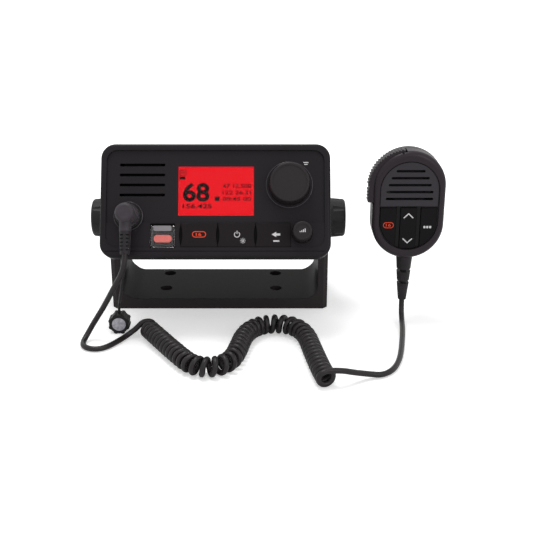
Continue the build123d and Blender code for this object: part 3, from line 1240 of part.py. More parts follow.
MIC_KEY_FACE = MIC_RECESS - 0.2
for name, (middle, width) in zip(("mic_key_left", "mic_rocker", "mic_key_right"), key_regions()):
    with BuildPart() as mic_key:
        with BuildSketch(MIC.offset(-MIC_KEY_BACK)):
            key_sketch(middle, width, GAP)
        extrude(amount=MIC_KEY_BACK - MIC_KEY_FACE)
        fillet(mic_key.faces().sort_by(Axis.Y)[0].edges(), 0.4)
        if name == "mic_rocker":
            # a half-round rib that the rocker tips on
            rocker_y = MIC_KEY_TOP - (MIC_RECESS_H / 2 - GRILLE_GAP + MIC_KEY_TOP) / 2
            with BuildSketch(Plane(on_mic(0, rocker_y, -MIC_KEY_BACK), (0, 0, 1), (1, 0, 0))):
                Circle(ROCKER_RIB_D / 2)
            extrude(amount=MIC_KEY_SPLIT / 2, both=True)
    finish(mic_key, name)

with BuildPart() as ptt_button:
    with BuildSketch(PTT_ARC.offset(-PTT_BACK)):
        ptt_band(PTT_R - PTT_THICK, PTT_R, PTT_START, PTT_RUN)
        teeth_from = PTT_START + PTT_PIN_TURN
        with PolarLocations(PTT_R, PTT_TEETH, start_angle=teeth_from, angular_range=180 - teeth_from):
            Circle(PTT_TOOTH_D / 2)
        with Locations(*[(-PTT_R, -PTT_TOOTH_PITCH * (i + 1)) for i in range(PTT_RUN_TEETH)]):
            Circle(PTT_TOOTH_D / 2)
    extrude(amount=PTT_BACK - PTT_FRONT)
    with BuildSketch(MIC):
        with Locations(PTT_PIN):
            Circle(PTT_PIN_D / 2 + RUN)
    extrude(amount=-MIC_FRONT_DEPTH, mode=Mode.SUBTRACT)
finish(ptt_button, "ptt_button")

with BuildPart() as ptt_pin:
    with BuildSketch(MIC.offset(-PTT_FRONT + 1)):
        with Locations(PTT_PIN):
            Circle(PTT_PIN_D / 2)
    extrude(amount=-(PTT_BACK - PTT_FRONT + 2))
finish(ptt_pin, "ptt_pin")

# ---------------------------------------------------------------- inside and behind the microphone
MIC_SPEAKER_D = 33.0
MIC_SPEAKER_RIM, MIC_CONE_DEEP = 3.0, 1.2
MIC_MAGNET_THICK = 4.0
MIC_SWITCH_DROP = 13.6
with BuildPart() as handset_speaker:
    with BuildSketch(MIC.offset(-KEY_FLOOR - MIC_SKIN)):
        with Locations((0, SOUND_Y)):
            Circle(MIC_SPEAKER_D / 2)
    extrude(amount=-MIC_SPEAKER_RIM)
    with BuildSketch(MIC.offset(-KEY_FLOOR - MIC_SKIN - MIC_SPEAKER_RIM)):
        with Locations((0, SOUND_Y)):
            Circle(MIC_SPEAKER_D / 4)
    extrude(amount=-MIC_MAGNET_THICK)
    with BuildSketch(MIC.offset(-KEY_FLOOR - MIC_SKIN)):
        with Locations((0, SOUND_Y)):
            Circle(MIC_SPEAKER_D / 2 - MIC_SPEAKER_RIM)
    extrude(amount=-MIC_CONE_DEEP, mode=Mode.SUBTRACT)
finish(handset_speaker, "handset_speaker")

MIC_BOARD_Z = KEY_FLOOR + MIC_SKIN + MIC_SPEAKER_RIM + MIC_MAGNET_THICK
with BuildPart() as handset_board:
    with BuildSketch(MIC.offset(-MIC_BOARD_Z)):
        mic_outline(MIC_CAVITY_W - 2 * DRAFT_GAP, MIC_CAVITY_H - 2 * DRAFT_GAP)
        with Locations(PTT_PIN):
            Circle(PTT_PIN_D / 2 + GAP, mode=Mode.SUBTRACT)
    extrude(amount=-BOARD_THICK)
    with BuildSketch(MIC.offset(-MIC_BOARD_Z)):
        for middle, width in key_regions():
            with Locations((middle, MIC_KEY_TOP - MIC_SWITCH_DROP)):
                RectangleRounded(SWITCH_SIZE, SWITCH_SIZE, 0.5)
    extrude(amount=MIC_BOARD_Z - MIC_KEY_BACK - MIC_KEY_TRAVEL - RUB)
finish(handset_board, "handset_board")

with BuildPart() as hanger_stud:
    with BuildSketch(MIC.offset(-MIC_DEPTH)):
        with Locations((0, STUD_Y)):
            Circle(STUD_NECK_D / 2)
    extrude(amount=-STUD_NECK)
    with BuildSketch(MIC.offset(-MIC_DEPTH - STUD_NECK)):
        with Locations((0, STUD_Y)):
            Circle(STUD_HEAD_D / 2)
    extrude(amount=-STUD_HEAD)
    fillet(hanger_stud.faces().sort_by(Axis.Y)[-1].edges(), 1)
    with BuildSketch(MIC.offset(-MIC_DEPTH)):
        with Locations((0, STUD_Y)):
            Circle(MIC_THREAD_D / 2 - RUN)
    extrude(amount=MIC_SKIN)
finish(hanger_stud, "hanger_stud")

CLIP_FACE = MIC_DEPTH + (STUD_NECK - CLIP_FRONT) / 2
CLIP_CAVITY = CLIP_FACE + CLIP_FRONT
CLIP_WALL_FACE = MIC_DEPTH + STUD_NECK + STUD_HEAD + 2.5
with BuildPart() as handset_clip:
    with BuildSketch(MIC.offset(-CLIP_FACE)):
        with Locations((0, STUD_Y + (CLIP_UP - CLIP_DOWN) / 2)):
            RectangleRounded(CLIP_W, CLIP_UP + CLIP_DOWN, 4)
    extrude(amount=-(CLIP_WALL_FACE - CLIP_FACE))
    fillet(handset_clip.faces().sort_by(Axis.Y)[0].edges(), 1.0)
    with BuildSketch(MIC.offset(-CLIP_WALL_FACE)):
        with Locations((0, STUD_Y)):
            RectangleRounded(CLIP_W, CLIP_PLATE_H, CLIP_PLATE_R)
    extrude(amount=-CLIP_BACK)
    with BuildSketch(MIC.offset(-CLIP_FACE)):
        with Locations((0, STUD_Y)):
            Circle(STUD_NECK_D / 2 + GAP)
        with Locations((0, STUD_Y + CLIP_UP)):
            Rectangle(STUD_NECK_D + 2 * GAP, 2 * CLIP_UP)
    extrude(amount=-CLIP_FRONT, mode=Mode.SUBTRACT)
    with BuildSketch(MIC.offset(-CLIP_CAVITY)):
        with Locations((0, STUD_Y)):
            Circle(STUD_HEAD_D / 2 + DRAFT_GAP)
        with Locations((0, STUD_Y + CLIP_UP)):
            Rectangle(STUD_HEAD_D + 2 * DRAFT_GAP, 2 * CLIP_UP)
    extrude(amount=-(CLIP_WALL_FACE - CLIP_CAVITY), mode=Mode.SUBTRACT)
    with BuildSketch(MIC.offset(-CLIP_FACE)):
        with Locations((0, STUD_Y)):
            with GridLocations(0, CLIP_HOLE_PITCH, 1, 2):
                Circle(CLIP_HOLE_D / 2)
    extrude(amount=-(CLIP_WALL_FACE + CLIP_BACK - CLIP_FACE), mode=Mode.SUBTRACT)
finish(handset_clip, "handset_clip")

# ---------------------------------------------------------------- strain relief of the microphone
MIC_AXLE = Plane(origin=on_mic(0, -MIC_H / 2, -MIC_CORD_Z), x_dir=(1, 0, 0), z_dir=(0, 0, -1))
MIC_BOOT = ((12.4, 14.0, 12.0), (2.4, 5.4, 5.4), (8.4, 12.0, 10.4), (2.4, 5.4, 5.4), (0, 10.4, 7.0))
with BuildPart() as handset_boot:
    start = 0.0
    for length, first_d, last_d in MIC_BOOT:
        end = start + length if length else MIC_BOOT_LENGTH
        with BuildSketch(MIC_AXLE.offset(start)):
            Circle(first_d / 2)
        with BuildSketch(MIC_AXLE.offset(end)):
            Circle(last_d / 2)
        loft()
        start = end
finish(handset_boot, "handset_boot")

with BuildPart() as handset_screws:
    with BuildSketch(MIC.offset(-MIC_DEPTH)):
        with Locations(*MIC_SCREWS):
            Circle(MIC_SCREW_HEAD_D / 2)
    extrude(amount=MIC_SCREW_HEAD)
    with BuildSketch(MIC.offset(-MIC_DEPTH + MIC_SCREW_HEAD)):
        with Locations(*MIC_SCREWS):
            Circle(MIC_SCREW_D / 2 - RUN)
    extrude(amount=MIC_SKIN - MIC_SCREW_HEAD)
    with BuildSketch(MIC.offset(-MIC_DEPTH)):
        with Locations(*MIC_SCREWS):
            Rectangle(2.6, 0.6)
            Rectangle(0.6, 2.6)
    extrude(amount=MIC_SCREW_HEAD / 2, mode=Mode.SUBTRACT)
finish(handset_screws, "handset_screws")
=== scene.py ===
# %% [markdown]
# # A marine radio and its fist microphone
# The CAD model already holds every rigid part at its true size. This lesson dresses it: a camera
# and studio, the curly cord, the printed marks, and one procedural finish for each real material.

# %% Load the model and keep its size
from math import cos, pi, radians, sin

import bmesh
import bpy
from mathutils import Matrix, Vector


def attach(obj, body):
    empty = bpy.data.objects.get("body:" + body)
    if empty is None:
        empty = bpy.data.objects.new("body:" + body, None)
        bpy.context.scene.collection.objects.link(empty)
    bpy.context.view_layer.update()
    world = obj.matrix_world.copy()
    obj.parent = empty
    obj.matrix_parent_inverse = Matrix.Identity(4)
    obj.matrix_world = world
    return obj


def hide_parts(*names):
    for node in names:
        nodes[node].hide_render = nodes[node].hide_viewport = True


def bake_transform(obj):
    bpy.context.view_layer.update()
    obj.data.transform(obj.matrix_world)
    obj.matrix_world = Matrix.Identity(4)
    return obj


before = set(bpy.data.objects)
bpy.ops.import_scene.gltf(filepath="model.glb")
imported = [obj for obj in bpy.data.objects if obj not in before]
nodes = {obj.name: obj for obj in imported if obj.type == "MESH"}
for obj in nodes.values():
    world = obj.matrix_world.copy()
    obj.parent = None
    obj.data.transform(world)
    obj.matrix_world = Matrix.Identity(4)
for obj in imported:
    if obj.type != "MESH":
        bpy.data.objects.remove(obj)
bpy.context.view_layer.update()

# %% [markdown]
# ## Camera
# A product shot of this kind is taken with a longish lens from a little above. The camera is
# placed first, because every later choice of size and light is judged through it.

# %% Set the camera
CAMERA_AT = Vector((0.0419, -0.80484, 0.33246))
CAMERA_AIM = Vector((0.0419, -0.0393, 0.0386))
lens = bpy.data.cameras.new("studio_camera")
lens.sensor_width, lens.lens = 36.0, 62.14
camera = bpy.data.objects.new("studio_camera", lens)
camera.location = CAMERA_AT
camera.rotation_euler = (CAMERA_AIM - CAMERA_AT).to_track_quat("-Z", "Y").to_euler()
bpy.context.scene.collection.objects.link(camera)
bpy.context.scene.camera = camera
bpy.context.scene.view_settings.view_transform = "Standard"
print("camera is", round((CAMERA_AIM - CAMERA_AT).length, 3), "m from the radio")

# %% [markdown]
# ## Material helpers
# Every finish below is a small node tree. Colours are written as the hex codes that a paint or
# plastics chart gives, so one function turns them into the linear numbers that light needs, and
# one more adds a node with its settings and its links.

# %% Colour and node helpers
def linear(code):
    """A hex colour as linear red, green, blue and alpha."""
    channels = [int(code[i:i + 2], 16) / 255 for i in (1, 3, 5)]
    return [c / 12.92 if c <= 0.04045 else ((c + 0.055) / 1.055) ** 2.4 for c in channels] + [1.0]


def add_node(tree, kind, values=None, links=None, **settings):
    """Add one shader node, set its plain values, and link the sockets that vary."""
    made = tree.nodes.new("ShaderNode" + kind)
    for name, value in settings.items():
        setattr(made, name, value)
    for socket, value in (values or {}).items():
        made.inputs[socket].default_value = value
    for socket, source in (links or {}).items():
        tree.links.new(source, made.inputs[socket])
    return made


def new_material(name):
    """An empty material, its node tree, its output and the object's own coordinates."""
    material = bpy.data.materials.new(name)
    material.use_nodes = True
    tree = material.node_tree
    tree.nodes.clear()
    output = tree.nodes.new("ShaderNodeOutputMaterial")
    return material, tree, output, add_node(tree, "TexCoord").outputs["Object"]


# %% [markdown]
# ## Cords
# The lead is a moulded polyurethane jacket over stranded cores, 4.6 mm thick. Its lie is drawn as
# a NURBS spline through a few given points, which gives one smooth line with no flat spots.
# The curly stretch is the same cord wound on a rod, so its turns are points of the same spline.

# %% Routes of the cord, in metres
LEAD_A = [
    (-0.0712, -0.11575, 0.0785), (-0.0712, -0.1212, 0.06781), (-0.081, -0.1172, 0.051),
    (-0.0912, -0.111, 0.0316), (-0.1022, -0.1074, 0.0138), (-0.1064, -0.1108, 0.0068),
    (-0.1094, -0.118, 0.00245), (-0.1083, -0.1256, 0.00245), (-0.103, -0.131, 0.00245),
    (-0.0955, -0.1323, 0.00245), (-0.0884, -0.1286, 0.00245), (-0.0808, -0.1172, 0.00245),
    (-0.0745, -0.107, 0.003), (-0.067, -0.1035, 0.0078), (-0.062, -0.104, 0.0136),
]
COIL_Z = 0.00835
COIL = [(x, y, COIL_Z) for x, y in (
    (-0.0586, -0.1018), (-0.0474, -0.121), (-0.034, -0.1434), (-0.0234, -0.1606),
    (-0.0154, -0.1713), (-0.006, -0.1756), (0.004, -0.1742), (0.012, -0.1674),
    (0.0168, -0.1566), (0.0202, -0.1384), (0.0224, -0.1236), (0.0272, -0.1094),
    (0.0362, -0.0988), (0.0478, -0.0954), (0.0594, -0.097), (0.069, -0.105),
    (0.075, -0.1194), (0.0779, -0.1408), (0.0812, -0.1636), (0.0846, -0.1846),
    (0.088, -0.199),
)]
LEAD_B = [
    (0.0872, -0.1925, 0.0141), (0.0975, -0.1905, 0.0135), (0.1082, -0.1846, 0.0086),
    (0.12, -0.1786, 0.0042), (0.131, -0.1772, 0.00245), (0.1408, -0.1676, 0.00245),
    (0.1474, -0.1506, 0.00245), (0.1516, -0.131, 0.00245), (0.155, -0.1106, 0.00245),
    (0.158, -0.0904, 0.00245), (0.1591, -0.0774, 0.0035), (0.1592, -0.0697, 0.0107),
    (0.1592, -0.0697, 0.0207),
]
STRAP = [
    (-0.0712, -0.09357, 0.09296), (-0.0715, -0.09925, 0.08356), (-0.0722, -0.10639, 0.07351),
    (-0.0736, -0.1116, 0.0615), (-0.0764, -0.1096, 0.047), (-0.0796, -0.102, 0.034),
    (-0.082, -0.0948, 0.026), (-0.0826, -0.093, 0.01739),
]
CORD_D, COIL_D, STRAP_D = 0.0046, 0.0165, 0.0024


# %% [markdown]
# A NURBS spline of order 3 bends gently past its points. Read without a bevel it gives the
# centre line, and read with a bevel it gives the round jacket, so both always agree.

# %% From route points to a line or a tube
def mesh_of(holder):
    """The mesh of a curve or text object, which is then taken away."""
    ready = holder.evaluated_get(bpy.context.evaluated_depsgraph_get())
    mesh = bpy.data.meshes.new_from_object(ready)
    bpy.data.objects.remove(holder)
    return mesh


def spline_mesh(points, steps, diameter=0.0):
    """The mesh of a NURBS spline: its line alone, or a closed round tube about it."""
    curve = bpy.data.curves.new("route", "CURVE")
    curve.dimensions, curve.resolution_u = "3D", steps
    curve.bevel_depth, curve.bevel_resolution = diameter / 2, 3
    curve.use_fill_caps = True
    spline = curve.splines.new("NURBS")
    spline.points.add(len(points) - 1)
    for knot, point in zip(spline.points, points):
        knot.co = (*point, 1.0)
    spline.order_u = 3
    spline.use_endpoint_u = True
    holder = bpy.data.objects.new("route", curve)
    bpy.context.scene.collection.objects.link(holder)
    return mesh_of(holder)


def line_of(points, steps):
    """The centre line of a route, as points in order."""
    return [v.co.copy() for v in spline_mesh(points, steps).vertices]


def length_of(line):
    """The length of a line of points."""
    return sum((b - a).length for a, b in zip(line, line[1:]))


coil_line = line_of(COIL, 12)
print("coil axis:", len(coil_line), "points,", round(length_of(coil_line), 4), "m")

# %% [markdown]
# The turns sit close where the coil runs straight and fan out round its two bends, because the
# outside of a bend is longer. A short table of pitches along the axis says how far apart they
# lie, and a loop walks the axis, turning as it goes, to set 12 points for each turn. The last
# turn stops one point short of the top, where the wire leaves it for the microphone.

# %% Wind the curly stretch
POINTS_PER_TURN = 12
TURN_R = (COIL_D - CORD_D) / 2 / cos(pi / POINTS_PER_TURN)
PITCHES = [
    (0.0, 0.0054), (0.05, 0.0054), (0.075, 0.0064), (0.1, 0.0072), (0.122, 0.0071),
    (0.145, 0.0062), (0.175, 0.006), (0.2, 0.0072), (0.225, 0.0076), (0.245, 0.007),
    (0.262, 0.0058), (0.32, 0.0055),
]
FIRST_TURN, COIL_START, COIL_STOP = 0.0, 0.0021, 0.3119


def pitch_at(along):
    """The distance between turns at a place along the axis."""
    for (low, a), (high, b) in zip(PITCHES, PITCHES[1:]):
        if along <= high:
            return a + (b - a) * (along - low) / (high - low)
    return PITCHES[-1][1]


def on_axis(line, along):
    """A point on the axis and its direction there."""
    for a, b in zip(line, line[1:]):
        step = (b - a).length
        if along <= step:
            return a.lerp(b, along / step), (b - a).normalized()
        along -= step
    return line[-1].copy(), (line[-1] - line[-2]).normalized()


def stations_along(start, stop):
    """Where each point of the turns lies along the axis, 12 to a turn."""
    places = [start]
    while places[-1] < stop:
        places.append(places[-1] + pitch_at(places[-1]) / POINTS_PER_TURN)
    return places[:-1]


stations = stations_along(COIL_START, COIL_STOP)
swept = 2 * pi * (len(stations) - 1) / POINTS_PER_TURN
LAST_TURN = 2 * pi * round((FIRST_TURN + swept) / (2 * pi)) - 2 * pi / POINTS_PER_TURN
turns = []
for index, along in enumerate(stations):
    centre, forward = on_axis(coil_line, along)
    aside = Vector((-forward.y, forward.x, 0))
    angle = FIRST_TURN + (LAST_TURN - FIRST_TURN) * index / (len(stations) - 1)
    turns.append(centre + TURN_R * (cos(angle) * Vector((0, 0, 1)) + sin(angle) * aside))
print("turns of the coil:", round((LAST_TURN - FIRST_TURN) / (2 * pi), 1))


# %% [markdown]
# Each cord is one piece with its own jacket. The first runs from the plug to the end of the coil,
# and the second from the last turn to the microphone.

# %% Make the cords and the strap of the dust cap
def lay_cord(name, points, steps, diameter):
    """A round jacket along a route, at the origin, and the line that it follows."""
    made = bpy.data.objects.new(name, spline_mesh(points, steps, diameter))
    bpy.context.scene.collection.objects.link(made)
    for polygon in made.data.polygons:
        polygon.use_smooth = True
    line = line_of(points, steps)
    print(name, "is", round(length_of(line), 3), "m long,", len(made.data.polygons), "faces")
    return made, line


coiled, coiled_line = lay_cord("curly_cord", LEAD_A + turns + LEAD_B[:1], 6, CORD_D)
lead, lead_line = lay_cord("microphone_lead", LEAD_B, 12, CORD_D)
strap, strap_line = lay_cord("cap_strap", STRAP, 12, STRAP_D)
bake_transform(coiled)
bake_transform(lead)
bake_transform(strap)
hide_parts("cord_lead_a", "cord_coil")
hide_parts("cord_lead_b")
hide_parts("cap_tether")

# %% [markdown]
# ## Studio
# The radio is black, so what shows its edges is what it mirrors. A white surround, one broad
# light above and a weaker one from the front right give soft highlights along the rounded rims.
# The floor takes a shadow near the object and fades to pure white farther out.

# %% Floor
FLOOR_HALF, NEAR_FLOOR, FAR_FLOOR, FLOOR_GLOW = 6.0, 0.22, 0.7, 0.42


def studio_floor():
    """A pale floor that stays white to the eye and still takes the object's shadow."""
    shape = bmesh.new()
    bmesh.ops.create_grid(shape, x_segments=1, y_segments=1, size=FLOOR_HALF)
    mesh = bpy.data.meshes.new("studio_floor")
    shape.to_mesh(mesh)
    shape.free()
    floor = bpy.data.objects.new("studio_floor", mesh)
    bpy.context.scene.collection.objects.link(floor)
    material, tree, output, place = new_material("pale_floor")
    body = add_node(tree, "BsdfPrincipled", {"Base Color": linear("#f4f4f4"), "Roughness": 0.9,
                                             "Specular IOR Level": 0.1})
    away = add_node(tree, "VectorMath", links={0: place}, operation="LENGTH")
    rise = add_node(tree, "MapRange", {"From Min": NEAR_FLOOR, "From Max": FAR_FLOOR,
                                       "To Min": FLOOR_GLOW, "To Max": 1.0},
                    {"Value": away.outputs["Value"]}, interpolation_type="SMOOTHSTEP")
    glow = add_node(tree, "Emission", {"Color": (1, 1, 1, 1)}, {"Strength": rise.outputs[0]})
    seen = add_node(tree, "LightPath")
    dark = add_node(tree, "Emission", {"Strength": 0.0})
    lifted = add_node(tree, "MixShader", links={"Fac": seen.outputs["Is Camera Ray"],
                                                1: dark.outputs[0], 2: glow.outputs[0]})
    both = add_node(tree, "AddShader", links={0: body.outputs[0], 1: lifted.outputs[0]})
    tree.links.new(both.outputs[0], output.inputs["Surface"])
    mesh.materials.append(material)


studio_floor()
print("floor fades to white between", NEAR_FLOOR, "and", FAR_FLOOR, "m from the middle")

# %% [markdown]
# The world is white to the eye, to mirrors and through glass, but lights the object at a plain
# level, so that its shadows keep their depth. The two lights are square, like real softboxes.

# %% World and lights
WORLD_LIGHT = 0.62


def studio_world():
    """White to the eye, to mirrors and through glass; a plain level of light for the rest."""
    world = bpy.data.worlds.new("white_surround")
    world.use_nodes = True
    tree = world.node_tree
    tree.nodes.clear()
    seen = add_node(tree, "LightPath")
    either = add_node(tree, "Math", operation="MAXIMUM", links={
        0: seen.outputs["Is Camera Ray"], 1: seen.outputs["Is Glossy Ray"]})
    white = add_node(tree, "Math", operation="MAXIMUM", links={
        0: either.outputs[0], 1: seen.outputs["Is Transmission Ray"]})
    strength = add_node(tree, "MapRange", {"To Min": WORLD_LIGHT, "To Max": 1.0},
                        {"Value": white.outputs[0]})
    sky = add_node(tree, "Background", {"Color": (1, 1, 1, 1)}, {"Strength": strength.outputs[0]})
    output = tree.nodes.new("ShaderNodeOutputWorld")
    tree.links.new(sky.outputs[0], output.inputs["Surface"])
    bpy.context.scene.world = world


def softbox(name, at, aim, size, watts):
    """A square area light that points at the object."""
    light = bpy.data.lights.new(name, "AREA")
    light.size, light.energy = size, watts
    made = bpy.data.objects.new(name, light)
    made.location = at
    made.rotation_euler = (Vector(aim) - Vector(at)).to_track_quat("-Z", "Y").to_euler()
    bpy.context.scene.collection.objects.link(made)


studio_world()
softbox("overhead_softbox", (-0.15, 0.05, 1.25), (0.04, -0.05, 0.0), 0.5, 7.0)
softbox("front_softbox", (0.75, -1.0, 0.7), (0.04, -0.05, 0.06), 0.6, 2.5)
print("studio ready, world light", WORLD_LIGHT)


# %% [markdown]
# ## Moulded plastics
# The shells are injection moulded: molten plastic is pressed into a spark-eroded steel mould,
# which leaves a fine, even grain that breaks up every highlight. Real grain is about 0.1 mm, too
# fine to show at this size, so each is drawn a few times coarser. Colour shifts very slightly
# over a hand's width, because the pigment is never mixed quite evenly.

# %% Places on the tilted face and on the microphone
MM = 0.001
FACE = Matrix.Translation((0, -0.081184, 0.112855)) @ Matrix.Rotation(radians(63), 4, "X")
HANDSET = Matrix.Translation((0.1592, -0.0817, 0.1076)) @ Matrix.Rotation(radians(90), 4, "X")
# boxes of painted shade, each as its frame, its middle and half its size in mm
PANEL_PAINTED_SHADE = (FACE, (0.0, 1.6, -8.0), (89.0, 39.6, 5.6))
KEY_PAINTED_SHADE = (FACE, (16.85, -28.55, -7.0), (48.0, 12.0, 5.9))
RIB_PAINTED_SHADE = (HANDSET, (0.0, -19.0, -6.0), (11.0, 19.0, 4.4))
# painted shade in the bracket's channel, where the radio above shadows it
BRACKET_PAINTED_SHADE = (Matrix.Identity(4), (0.0, -6.2, 60.0), (87.8, 37.2, 50.8))
# the lit side of the screen, so that its edges stay dark
SCREEN_FRONT = (FACE, (0.0, 0.0, -6.0), (80.0, 50.0, 0.8))
SOFT_EDGE = 0.0002


def box_mask(tree, place, box):
    """1 inside a box and 0 outside, with an edge that is soft over a few tenths of a mm."""
    stand, middle, half = box
    back = stand.inverted()
    local = add_node(tree, "Mapping", {"Location": back.translation, "Rotation": back.to_euler()},
                     {"Vector": place}, vector_type="POINT")
    shifted = add_node(tree, "VectorMath", {1: [c * MM for c in middle]}, {0: local.outputs[0]},
                       operation="SUBTRACT")
    apart = add_node(tree, "VectorMath", links={0: shifted.outputs[0]}, operation="ABSOLUTE")
    past = add_node(tree, "VectorMath", {1: [c * MM for c in half]}, {0: apart.outputs[0]},
                    operation="SUBTRACT")
    sides = add_node(tree, "SeparateXYZ", links={0: past.outputs[0]})
    widest = add_node(tree, "Math", links={0: sides.outputs[0], 1: sides.outputs[1]},
                      operation="MAXIMUM")
    farthest = add_node(tree, "Math", links={0: widest.outputs[0], 1: sides.outputs[2]},
                        operation="MAXIMUM")
    return add_node(tree, "MapRange", {"From Min": -SOFT_EDGE, "From Max": SOFT_EDGE,
                                       "To Min": 1.0, "To Max": 0.0},
                    {"Value": farthest.outputs[0]}).outputs[0]


# %% [markdown]
# A groove between keys looks nearly black on the real thing, because light has to bounce many
# times to get out. So the shells, keys and bracket may name a box in which that shade is painted:
# the pigment there is drawn much darker, in grooves below the surface and, on the bracket, in the
# channel that the radio shadows.

# %% Moulded shells, knobs and keys
# the first number is how dark the painted shade in grooves is, as a share of the pigment
PAINTED_SHADE_TONE, GRAIN_DEPTH, DRIFT_MM = 0.15, 0.12, 60.0


def shades(code, darker, lighter):
    """A darker and a lighter version of a colour, for a pigment that is never quite even."""
    base = linear(code)[:3]
    return [c * darker for c in base] + [1.0], [min(1.0, c * lighter) for c in base] + [1.0]


def moulded_plastic(name, code, roughness, grain_mm, relief, specular, painted_shade_box=None, glow=0.0):
    """Pigmented plastic with a spark-eroded grain: a slow drift of tone and a fine bump."""
    material, tree, output, place = new_material(name)
    grain = add_node(tree, "TexNoise", {"Scale": 1 / (grain_mm * MM), "Detail": 3.0,
                                        "Roughness": 0.6}, {"Vector": place})
    drift = add_node(tree, "TexNoise", {"Scale": 1 / (DRIFT_MM * MM), "Detail": 2.0},
                     {"Vector": place})
    tone = add_node(tree, "ValToRGB", links={"Fac": drift.outputs["Fac"]})
    dark, pale = tone.color_ramp.elements
    dark.color, pale.color = shades(code, 0.86, 1.14)
    pigment = tone.outputs["Color"]
    # painted shade: inside the box the pigment is drawn darker, where light hardly reaches
    if painted_shade_box:
        shaded = add_node(tree, "Mix", {7: [c * PAINTED_SHADE_TONE for c in linear(code)[:3]] + [1.0]},
                          {0: box_mask(tree, place, painted_shade_box), 6: pigment}, data_type="RGBA")
        pigment = shaded.outputs[2]
    polish = add_node(tree, "MapRange", {"To Min": roughness - 0.05, "To Max": roughness + 0.06},
                      {"Value": grain.outputs["Fac"]})
    bump = add_node(tree, "Bump", {"Strength": relief, "Distance": GRAIN_DEPTH * grain_mm * MM},
                    {"Height": grain.outputs["Fac"]})
    shader = add_node(tree, "BsdfPrincipled",
                      {"IOR": 1.5, "Specular IOR Level": specular, "Emission Strength": glow},
                      {"Base Color": pigment, "Emission Color": pigment,
                       "Roughness": polish.outputs[0], "Normal": bump.outputs["Normal"]})
    tree.links.new(shader.outputs[0], output.inputs["Surface"])
    return material


def dress(material, *names):
    """Give CAD nodes their finish: the mesh stays, only its material slot changes."""
    for name in names:
        for place in nodes[name].material_slots:
            place.material = material
    print(material.name, "->", len(names), "nodes")


bezel_abs = moulded_plastic("spark_eroded_abs_bezel", "#242124", 0.38, 0.9, 0.35, 0.09,
                            PANEL_PAINTED_SHADE)
# the bracket's channel gets painted shade under the radio
bracket_nylon = moulded_plastic("glass_filled_nylon_bracket", "#383435", 0.4, 1.1, 0.4, 0.03,
                                BRACKET_PAINTED_SHADE)
hanger_nylon = moulded_plastic("glass_filled_nylon_hanger", "#1c1a1b", 0.45, 1.1, 0.4, 0.2)
knob_nylon = moulded_plastic("glass_filled_nylon_knob", "#1c1a1c", 0.45, 1.1, 0.4, 0.25)
knob_coat = moulded_plastic("soft_touch_coated_knob", "#211d1f", 0.5, 0.7, 0.25, 0.22)
key_satin = moulded_plastic("satin_moulded_key", "#211d1f", 0.36, 0.7, 0.2, 0.07, KEY_PAINTED_SHADE)
handset_key_satin = moulded_plastic("satin_handset_key", "#151315", 0.38, 0.7, 0.2, 0.08)
shell_satin = moulded_plastic("satin_polycarbonate_shell", "#2b252a", 0.34, 0.8, 0.25, 0.18,
                              RIB_PAINTED_SHADE)
grille_satin = moulded_plastic("satin_speaker_grille", "#312e33", 0.42, 0.8, 0.25, 0.25)
socket_nylon = moulded_plastic("black_nylon_socket", "#121112", 0.45, 0.9, 0.3, 0.22)
dress(bezel_abs, "front_bezel")
dress(bracket_nylon, "bracket")
dress(hanger_nylon, "handset_clip", "hanger_stud")
dress(knob_nylon, "bracket_knob_left", "bracket_knob_right")
dress(knob_coat, "channel_knob", "volume_knob")
dress(key_satin, "key_16", "key_power", "key_back")
dress(handset_key_satin, "mic_key_left", "mic_rocker", "mic_key_right")
dress(shell_satin, "handset_front", "handset_rear", "ptt_button")
dress(grille_satin, "grille_panel")
dress(socket_nylon, "handset_socket", "power_gland", "network_port")

# %% [markdown]
# ## Rubbers
# The cord's jacket is extruded polyurethane, dark brown-black and half matt, with faint marks
# across it where it was wound. The plug and its boots are moulded over it in the same rubber.
# The dust cap, its strap and the gaskets are softer silicone, which looks a little drier.

# %% Jacket rubber and silicone
SCUFF_MM, PORE_DEPTH = 9.0, 0.1


def soft_rubber(name, code, roughness, pores_mm, specular, sheen):
    """Moulded or extruded rubber: pores in the surface and a dusty sheen at grazing angles."""
    material, tree, output, place = new_material(name)
    pores = add_node(tree, "TexVoronoi", {"Scale": 1 / (pores_mm * MM)}, {"Vector": place})
    scuffs = add_node(tree, "TexNoise", {"Scale": 1 / (SCUFF_MM * MM), "Detail": 4.0},
                      {"Vector": place})
    tone = add_node(tree, "ValToRGB", links={"Fac": scuffs.outputs["Fac"]})
    dark, pale = tone.color_ramp.elements
    dark.position, pale.position = 0.3, 0.7
    dark.color, pale.color = shades(code, 0.8, 1.25)
    polish = add_node(tree, "MapRange", {"To Min": roughness - 0.08, "To Max": roughness + 0.08},
                      {"Value": scuffs.outputs["Fac"]})
    bump = add_node(tree, "Bump", {"Strength": 0.25, "Distance": PORE_DEPTH * pores_mm * MM},
                    {"Height": pores.outputs["Distance"]})
    shader = add_node(tree, "BsdfPrincipled",
                      {"IOR": 1.5, "Specular IOR Level": specular, "Sheen Weight": sheen,
                       "Sheen Roughness": 0.5},
                      {"Base Color": tone.outputs["Color"], "Roughness": polish.outputs[0],
                       "Normal": bump.outputs["Normal"]})
    tree.links.new(shader.outputs[0], output.inputs["Surface"])
    return material


